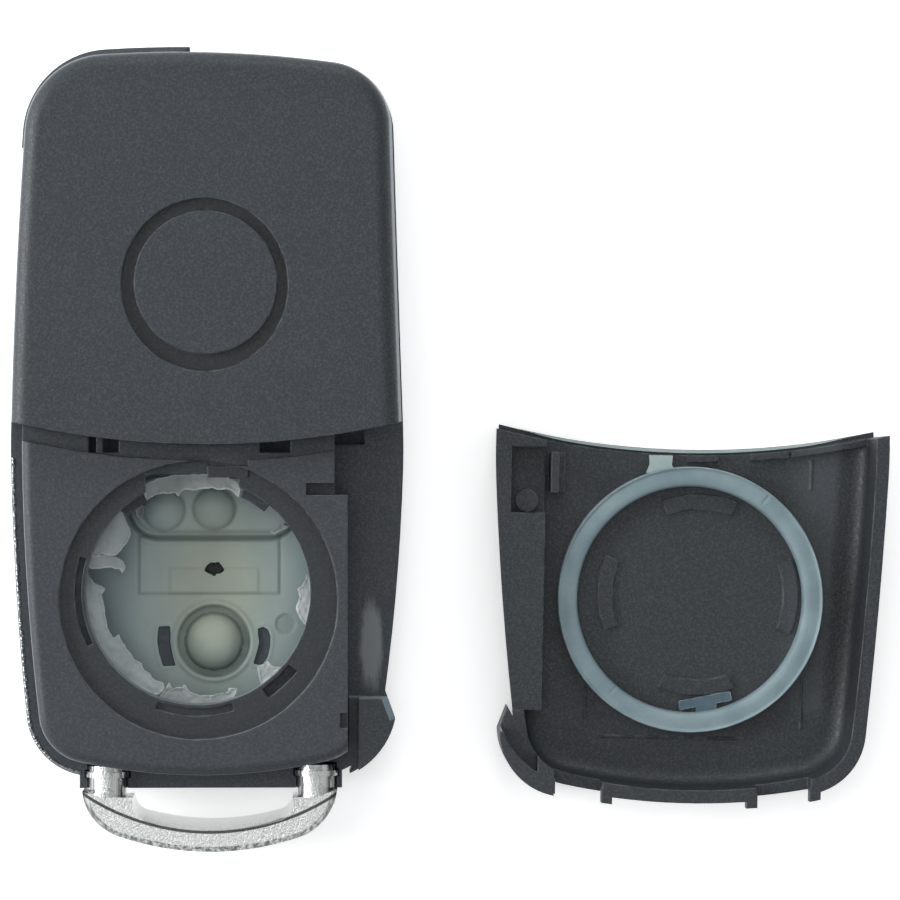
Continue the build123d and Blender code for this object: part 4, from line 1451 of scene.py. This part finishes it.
@dataclass
class SealRing:
    """The soft seal on the battery cover, with its runner, seam gasket and blue flash."""

    centre: Flat = (-0.55, -14.1)
    inner: float = 10.5
    outer: float = 12.35
    free: float = 12.2
    floor: float = 14.0
    turns: int = 720
    waver: float = 0.02
    nick_turn: float = 0.5
    nick_width: float = 0.4
    nicks: tuple[Triple, ...] = (
        (30.0, 0.12, 11.7), (125.8, 0.16, 11.75), (309.5, 0.1, 11.0))
    inner_side: tuple[Flat, ...] = (
        (0.0, 0.0), (0.01, 0.62), (0.08, 0.84), (0.26, 0.93), (0.7, 0.95), (1.1, 0.94))
    outer_side: tuple[Flat, ...] = (
        (0.4, 0.91), (0.28, 0.91), (0.18, 0.97), (0.1, 1.0), (0.02, 0.96), (0.0, 0.8), (0.0, 0.0))
    seam_rise: float = 2.25
    seam_half: float = 18.0
    ledge: float = 14.6
    strip_edge: float = -0.24
    strip_width: float = 0.26
    strip_half: float = 17.4
    strip_thins: Flat = (-17.6, -11.0)
    runner: tuple[Flat, ...] = (
        (1.25, -0.75), (3.5, -0.75), (3.4, -1.6), (3.75, -2.4), (0.95, -2.4), (1.35, -1.6))
    tee: tuple[Flat, ...] = (
        (-4.55, -22.62), (-3.7, -22.72), (0.3, -23.6), (0.15, -24.5), (-1.35, -24.1), (-1.35, -25.0),
        (-3.25, -25.0), (-3.25, -23.75), (-4.75, -23.4))

    def _section(self) -> list[Flat]:
        """Gives the ring's section as radius and height, from its inner foot to its outer foot.

        Returns:
            The points of the section.
        """
        rise = self.floor - self.free
        inner = [(self.inner + step, self.floor - share * rise) for step, share in self.inner_side]
        return inner + [(self.outer - step, self.floor - share * rise) for step, share in self.outer_side]

    def build(self, finishes: Finishes) -> None:
        """Makes the ring and what was moulded with it.

        Args:
            finishes: The finishes to choose from.
        """
        section = self._section()
        points = []
        for step in range(self.turns):
            angle = 2 * math.pi * step / self.turns
            wobble = self.waver * noise.noise(Vector((math.cos(angle) * 6, math.sin(angle) * 6, 0.3)))
            for radius, height in section:
                share = (self.floor - height) / (self.floor - self.free)
                dent = sum(
                    depth * math.exp(-(((math.degrees(angle) - at + 180) % 360 - 180) / self.nick_turn) ** 2
                                     - ((radius - spot) / self.nick_width) ** 2)
                    for at, depth, spot in self.nicks)
                out = radius - 0.05 * abs(wobble) * share
                x, y = self.centre[0] + out * math.cos(angle), self.centre[1] + out * math.sin(angle)
                points.append(tuple(ROW.point(Home.LID, x, y, height + dent * share)))
        faces = between_rows(self.turns, len(section), closed=True, tube=True)
        ring = piece_from("seal_ring", points, faces, [finishes.seal], 60.0)
        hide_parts("cover_seal")
        placed(ring)
        self._tee(finishes)
        self._gasket(finishes)

    def _tee(self, finishes: Finishes) -> None:
        """Makes the thin blue flash inside the ring's foot.

        Args:
            finishes: The finishes to choose from.
        """
        outline = tear(self.tee, 0.25, 0.06, 5.0)
        sheet = Sheet(
            "seal_flash_tee", Home.LID, polygon_distance(outline), uneven(13.6, 0.03, 0.7, 2.0),
            flat(self.floor), (-5.2, -25.3), (0.8, -22.2), 0.12)
        placed(sheet.build([finishes.blue]))

    def _gasket(self, finishes: Finishes) -> None:
        """Makes the pale strip along the cover's seam edge and the ring's runner.

        Args:
            finishes: The finishes to choose from.
        """

        def seam(x: np.ndarray) -> np.ndarray:
            """Gives how far along the seam's line lies at each place across the cover."""
            return self.seam_rise * (x / self.seam_half) ** 2

        def strip(x: np.ndarray, y: np.ndarray) -> np.ndarray:
            """Gives the distance inside the strip, which thins out at its ends.

            Args:
                x: Across, in millimetres.
                y: Along, in millimetres.

            Returns:
                The distances, positive inside.
            """
            away = y - seam(x)
            thin = self.strip_width * smooth(-np.abs(x), *self.strip_thins)
            across = np.minimum(self.strip_edge - away, away - self.strip_edge + thin)
            return np.minimum(across, self.strip_half - np.abs(x))

        bead = Sheet(
            "seam_gasket", Home.LID, strip, uneven(self.ledge - 0.16, 0.03, 0.8, 7.0), flat(self.ledge),
            (-17.5, -1.0), (17.5, 2.6), 0.1)
        placed(bead.build([finishes.runner]))
        outline = tear(self.runner, 0.3, 0.05, 9.0)
        runner = Sheet(
            "seal_runner", Home.LID, polygon_distance(outline), uneven(13.55, 0.03, 0.6, 4.0),
            flat(self.floor), (0.7, -2.7), (4.1, -0.5), 0.12)
        placed(runner.build([finishes.runner]))


@dataclass
class RimBurr:
    """The rough silver-flecked burr along the front shell's left edge and round its corner."""

    left_bottom: float = 16.05
    right_bottom: float = 15.3
    seam_half: float = 18.0
    side_half: float = 17.45
    side_y: float = -14.085
    foot: float = -31.3
    crown: float = 2.05
    corner: float = 6.0
    level: float = 7.2
    start: float = -1.2
    end_x: float = -11.6
    step: float = 0.11
    inset: float = 0.03
    width: float = 0.36
    rise: float = 0.1
    jag: float = 0.05
    least: float = 0.03
    section: tuple[Flat, ...] = ((0.0, -0.1), (0.12, 0.6), (0.4, 1.0), (0.75, 0.55), (1.0, -0.1))

    @staticmethod
    def _circle(a: Flat, b: Flat, c: Flat) -> Triple:
        """Gives the centre and radius of the circle through three points.

        Args:
            a: The first point.
            b: The second point.
            c: The third point.

        Returns:
            The centre's two places and the radius.
        """
        (ax, ay), (bx, by), (cx, cy) = a, b, c
        d = 2 * (ax * (by - cy) + bx * (cy - ay) + cx * (ay - by))
        ux = ((ax**2 + ay**2) * (by - cy) + (bx**2 + by**2) * (cy - ay) + (cx**2 + cy**2) * (ay - by)) / d
        uy = ((ax**2 + ay**2) * (cx - bx) + (bx**2 + by**2) * (ax - cx) + (cx**2 + cy**2) * (bx - ax)) / d
        return ux, uy, math.hypot(ax - ux, ay - uy)

    def path(self, inset: float) -> list[Flat]:
        """Gives points along the shell's left edge and lower left corner, drawn in by an inset.

        Args:
            inset: How far the line is drawn in, in millimetres.

        Returns:
            The points, from the seam to the foot.
        """
        wide = self.seam_half - inset
        foot = self.foot + inset
        low = (inset - self.left_bottom, foot + self.crown)
        side = self._circle(low, (inset - self.side_half, self.side_y), (-wide, 0.0))
        base = self._circle((self.right_bottom - inset, foot + self.crown), (0.0, foot), low)
        radius = self.corner - inset
        first, second = side[2] - radius, base[2] - radius
        dx, dy = base[0] - side[0], base[1] - side[1]
        gap = math.hypot(dx, dy)
        along = (first**2 - second**2 + gap**2) / (2 * gap)
        up = math.sqrt(max(first**2 - along**2, 0))
        options = [
            (side[0] + (along * dx + sign * up * dy) / gap, side[1] + (along * dy - sign * up * dx) / gap)
            for sign in (1, -1)]
        centre = min(options, key=lambda p: math.hypot(p[0] - low[0], p[1] - low[1]))
        turn_in = math.atan2(centre[1] - side[1], centre[0] - side[0])
        turn_out = math.atan2(centre[1] - base[1], centre[0] - base[0])
        begin = math.atan2(self.start - side[1], -wide - side[0])
        points = self._arc(side[0], side[1], side[2], begin, turn_in)
        points += self._arc(centre[0], centre[1], radius, turn_in, turn_out)
        finish = -math.acos(max(-1.0, (self.end_x - base[0]) / base[2]))
        return points + self._arc(base[0], base[1], base[2], turn_out, finish)

    def _arc(self, x: float, y: float, radius: float, start: float, end: float) -> list[Flat]:
        """Gives points along an arc, the short way round.

        Args:
            x: The centre, across.
            y: The centre, along.
            radius: The radius, in millimetres.
            start: The angle at the start, in radians.
            end: The angle at the end.

        Returns:
            The points, without the last.
        """
        turn = (end - start + math.pi) % (2 * math.pi) - math.pi
        count = max(2, round(abs(turn) * radius / self.step))
        return [
            (x + radius * math.cos(start + turn * i / count), y + radius * math.sin(start + turn * i / count))
            for i in range(count)]

    def build(self, finishes: Finishes) -> None:
        """Makes the burr as a ragged bead.

        Args:
            finishes: The finishes to choose from.
        """
        outer = self.path(self.inset)
        points = []
        for number, (x, y) in enumerate(outer):
            ahead = outer[min(number + 1, len(outer) - 1)]
            behind = outer[max(number - 1, 0)]
            tx, ty = ahead[0] - behind[0], ahead[1] - behind[1]
            size = math.hypot(tx, ty)
            nx, ny = -ty / size, tx / size
            rough = noise.noise(Vector((x * 2.3, y * 2.3, 1.0)))
            fleck = noise.noise(Vector((x * 7.0, y * 7.0, 5.0)))
            width = self.width + 0.12 * rough + 0.1 * fleck
            rise = self.rise + 0.05 * rough + 0.07 * fleck
            for share, lift in self.section:
                jag = self.jag * noise.noise(Vector((x * 11 + share * 9, y * 11, 2.0)))
                reach, up = width * share, max(rise + jag, self.least) * lift
                points.append(ROW.point(Home.FOB, x + nx * reach, y + ny * reach, self.level + up))
        faces = between_rows(len(outer), len(self.section))
        burr = piece_from("rim_burr", points, faces, [finishes.burr])
        placed(burr)


@dataclass
class PressSpring:
    """The coil round the release button's stem."""

    centre: Flat = (0.0, 14.55)
    flange: float = 1.95
    head: float = 8.2
    radius: float = 2.7
    wire: float = 0.3
    end_turns: float = 0.9
    free_turns: float = 3.0
    travel: float = 0.9
    play: float = 0.02
    steps: int = 36
    sides: int = 12

    def _line(self, turn: float) -> Vector:
        """Gives a point of the wire's middle line, with closed coils at both ends.

        Args:
            turn: How many turns lie below the point.

        Returns:
            The point, in metres.
        """
        low = self.flange + self.wire + self.play
        high = self.head - self.wire - self.play
        closed = self.end_turns * (2 * self.wire + self.play)
        rise = min(turn, self.end_turns) + max(0.0, turn - self.end_turns - self.free_turns)
        free = min(max(turn - self.end_turns, 0.0), self.free_turns) / self.free_turns
        level = low + closed * rise / self.end_turns + (high - low - 2 * closed) * free
        angle = math.tau * turn
        x = self.centre[0] + self.radius * math.cos(angle)
        y = self.centre[1] + self.radius * math.sin(angle)
        return ROW.point(Home.FOB, x, y, level)

    def build(self, finishes: Finishes) -> None:
        """Sweeps the wire and lets it ride on the blade head.

        Args:
            finishes: The finishes to choose from.
        """
        turns = 2 * self.end_turns + self.free_turns
        count = int(turns * self.steps)
        middle = ROW.point(Home.FOB, *self.centre, 0.0)
        points = []
        for number in range(count + 1):
            spot = self._line(turns * number / count)
            out = Vector((spot.x - middle.x, spot.y - middle.y, 0.0)).normalized()
            for side in range(self.sides):
                angle = math.tau * side / self.sides
                reach = out * math.cos(angle) + Vector((0.0, 0.0, math.sin(angle)))
                points.append(spot + reach * self.wire * MM)
        faces = between_rows(count + 1, self.sides, tube=True)
        faces.append(tuple(reversed(range(self.sides))))
        faces.append(tuple(range(count * self.sides, (count + 1) * self.sides)))
        piece = piece_from("press_spring", points, faces, [finishes.steel], 180.0)
        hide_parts("release_spring")
        placed(piece, "blade_head")
        anchor = ROW.point(Home.FOB, *self.centre, self.head)
        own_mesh(piece)


@dataclass
class Castings:
    """The rigid nodes that keep their solids and get their finishes."""

    frame: dict

    def _dress(self, material: bpy.types.Material, *names: str) -> None:
        """Gives nodes one finish in every slot.

        Args:
            material: The finish.
            *names: The nodes that wear it.
        """
        for name in names:
            node = self.frame["nodes"][name]
            node.data.materials.clear()
            node.data.materials.append(material)
            LOG.info("%s wears %s", name, material.name)

    def build(self, finishes: Finishes) -> None:
        """Dresses every rigid node.

        Args:
            finishes: The finishes to choose from.
        """
        self._dress(finishes.shell, "front_shell")
        self._dress(finishes.cover, "rear_upper_cover")
        self._dress(finishes.frame, "inner_frame")
        self._dress(finishes.lid, "battery_cover")
        self._dress(finishes.caps, "upper_button", "middle_button", "lower_button")
        self._dress(finishes.keypad, "keypad_membrane")
        self._dress(finishes.seal, "cover_seal")
        self._dress(finishes.chrome, "release_button", "release_trim_ring")
        self._dress(finishes.head, "flip_head")
        self._dress(finishes.steel, "release_spring", "pivot_stud", "head_washer")
        self._dress(finishes.pin, "head_stop_pin")
        self._dress(finishes.nickel, "key_ring_loop")


@dataclass
class Studio:
    """The pale table, the soft lamps and the camera over them."""

    camera_at: Triple = (-12.0, 0.135, 407.2)
    aim: Triple = (0.0, 0.135, 7.2)
    lens: float = 174.5
    sky: Colour = (0.97, 0.985, 1.0, 1.0)
    world: float = 0.56
    horizon: float = 0.3
    sky_rise: Flat = (0.02, 0.4)
    table_reach: float = 3.0
    table_level: float = 2.2
    table_droop: float = 0.02
    lamps: tuple[tuple[str, Triple, float, float], ...] = (
        ("left_softbox", (-420.0, 60.0, 190.0), 260.0, 2.35),
        ("head_softbox", (40.0, 430.0, 260.0), 260.0, 0.85),
        ("top_softbox", (-60.0, 40.0, 620.0), 300.0, 0.5),
    )

    def build(self, finishes: Finishes) -> None:
        """Sets the table, the lamps, the world and the camera.

        Args:
            finishes: The finishes to choose from.
        """
        self._table(finishes)
        for name, place, size, power in self.lamps:
            light = bpy.data.lights.new(name, "AREA")
            light.shape = "SQUARE"
            light.size = size * MM
            light.energy = power
            lamp = bpy.data.objects.new(name, light)
            bpy.context.scene.collection.objects.link(lamp)
            lamp.location = Vector(place) * MM
            lamp.rotation_euler = (-lamp.location).to_track_quat("-Z", "Y").to_euler()
        world = bpy.data.worlds.new("studio_white")
        bpy.context.scene.world = world
        world.use_nodes = True
        wire = Wiring(world.node_tree)
        backdrop = world.node_tree.nodes["Background"]
        path = wire.add("ShaderNodeLightPath")
        seen = wire.maths("MAXIMUM", path.outputs["Is Camera Ray"], path.outputs["Is Transmission Ray"])
        backdrop.inputs["Color"].default_value = self.sky
        rise = wire.split(wire.add("ShaderNodeTexCoord").outputs["Generated"])[2]
        lit = wire.ramp(rise, *self.sky_rise, self.horizon, self.world)
        wire.feed(backdrop.inputs["Strength"], wire.maths("MAXIMUM", lit, seen))
        self._camera()
        bpy.context.scene.view_settings.view_transform = "Standard"

    def _table(self, finishes: Finishes) -> None:
        """Makes the table as a wide sheet that droops a little far out.

        Args:
            finishes: The finishes to choose from.
        """
        mesh = bpy.data.meshes.new("table")
        work = bmesh.new()
        bmesh.ops.create_grid(work, x_segments=24, y_segments=24, size=self.table_reach)
        for vert in work.verts:
            far = max(0.0, math.hypot(vert.co.x, vert.co.y) - self.table_level)
            vert.co.z = -self.table_droop * far * far
        work.to_mesh(mesh)
        work.free()
        mesh.materials.append(finishes.floor)
        table = bpy.data.objects.new("table", mesh)
        bpy.context.scene.collection.objects.link(table)

    def _camera(self) -> None:
        """Hangs the camera over the row, a little to the left of its middle."""
        data = bpy.data.cameras.new("over_row")
        data.sensor_width = 36.0
        data.lens = self.lens
        data.clip_start = 0.01
        data.clip_end = 10.0
        camera = bpy.data.objects.new("over_row", data)
        bpy.context.scene.collection.objects.link(camera)
        camera.location = Vector(self.camera_at) * MM
        back = (Vector(self.camera_at) - Vector(self.aim)).normalized()
        camera.rotation_mode = "QUATERNION"
        right = Vector((0.0, 1.0, 0.0)).cross(back).normalized()
        turn = Matrix((right, back.cross(right), back)).transposed()
        camera.rotation_quaternion = turn.to_quaternion()
        bpy.context.scene.camera = camera


def main() -> None:
    """Builds the scene in order."""
    logging.basicConfig(level=logging.INFO, format="%(name)s: %(message)s")
    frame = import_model()
    finishes = Finishes()
    Studio().build(finishes)
    Castings(frame).build(finishes)
    KeypadSkin().build(finishes)
    WellFlash().build(finishes)
    SealRing().build(finishes)
    RimBurr().build(finishes)
    PressSpring().build(finishes)


if __name__ == "__main__":
    main()
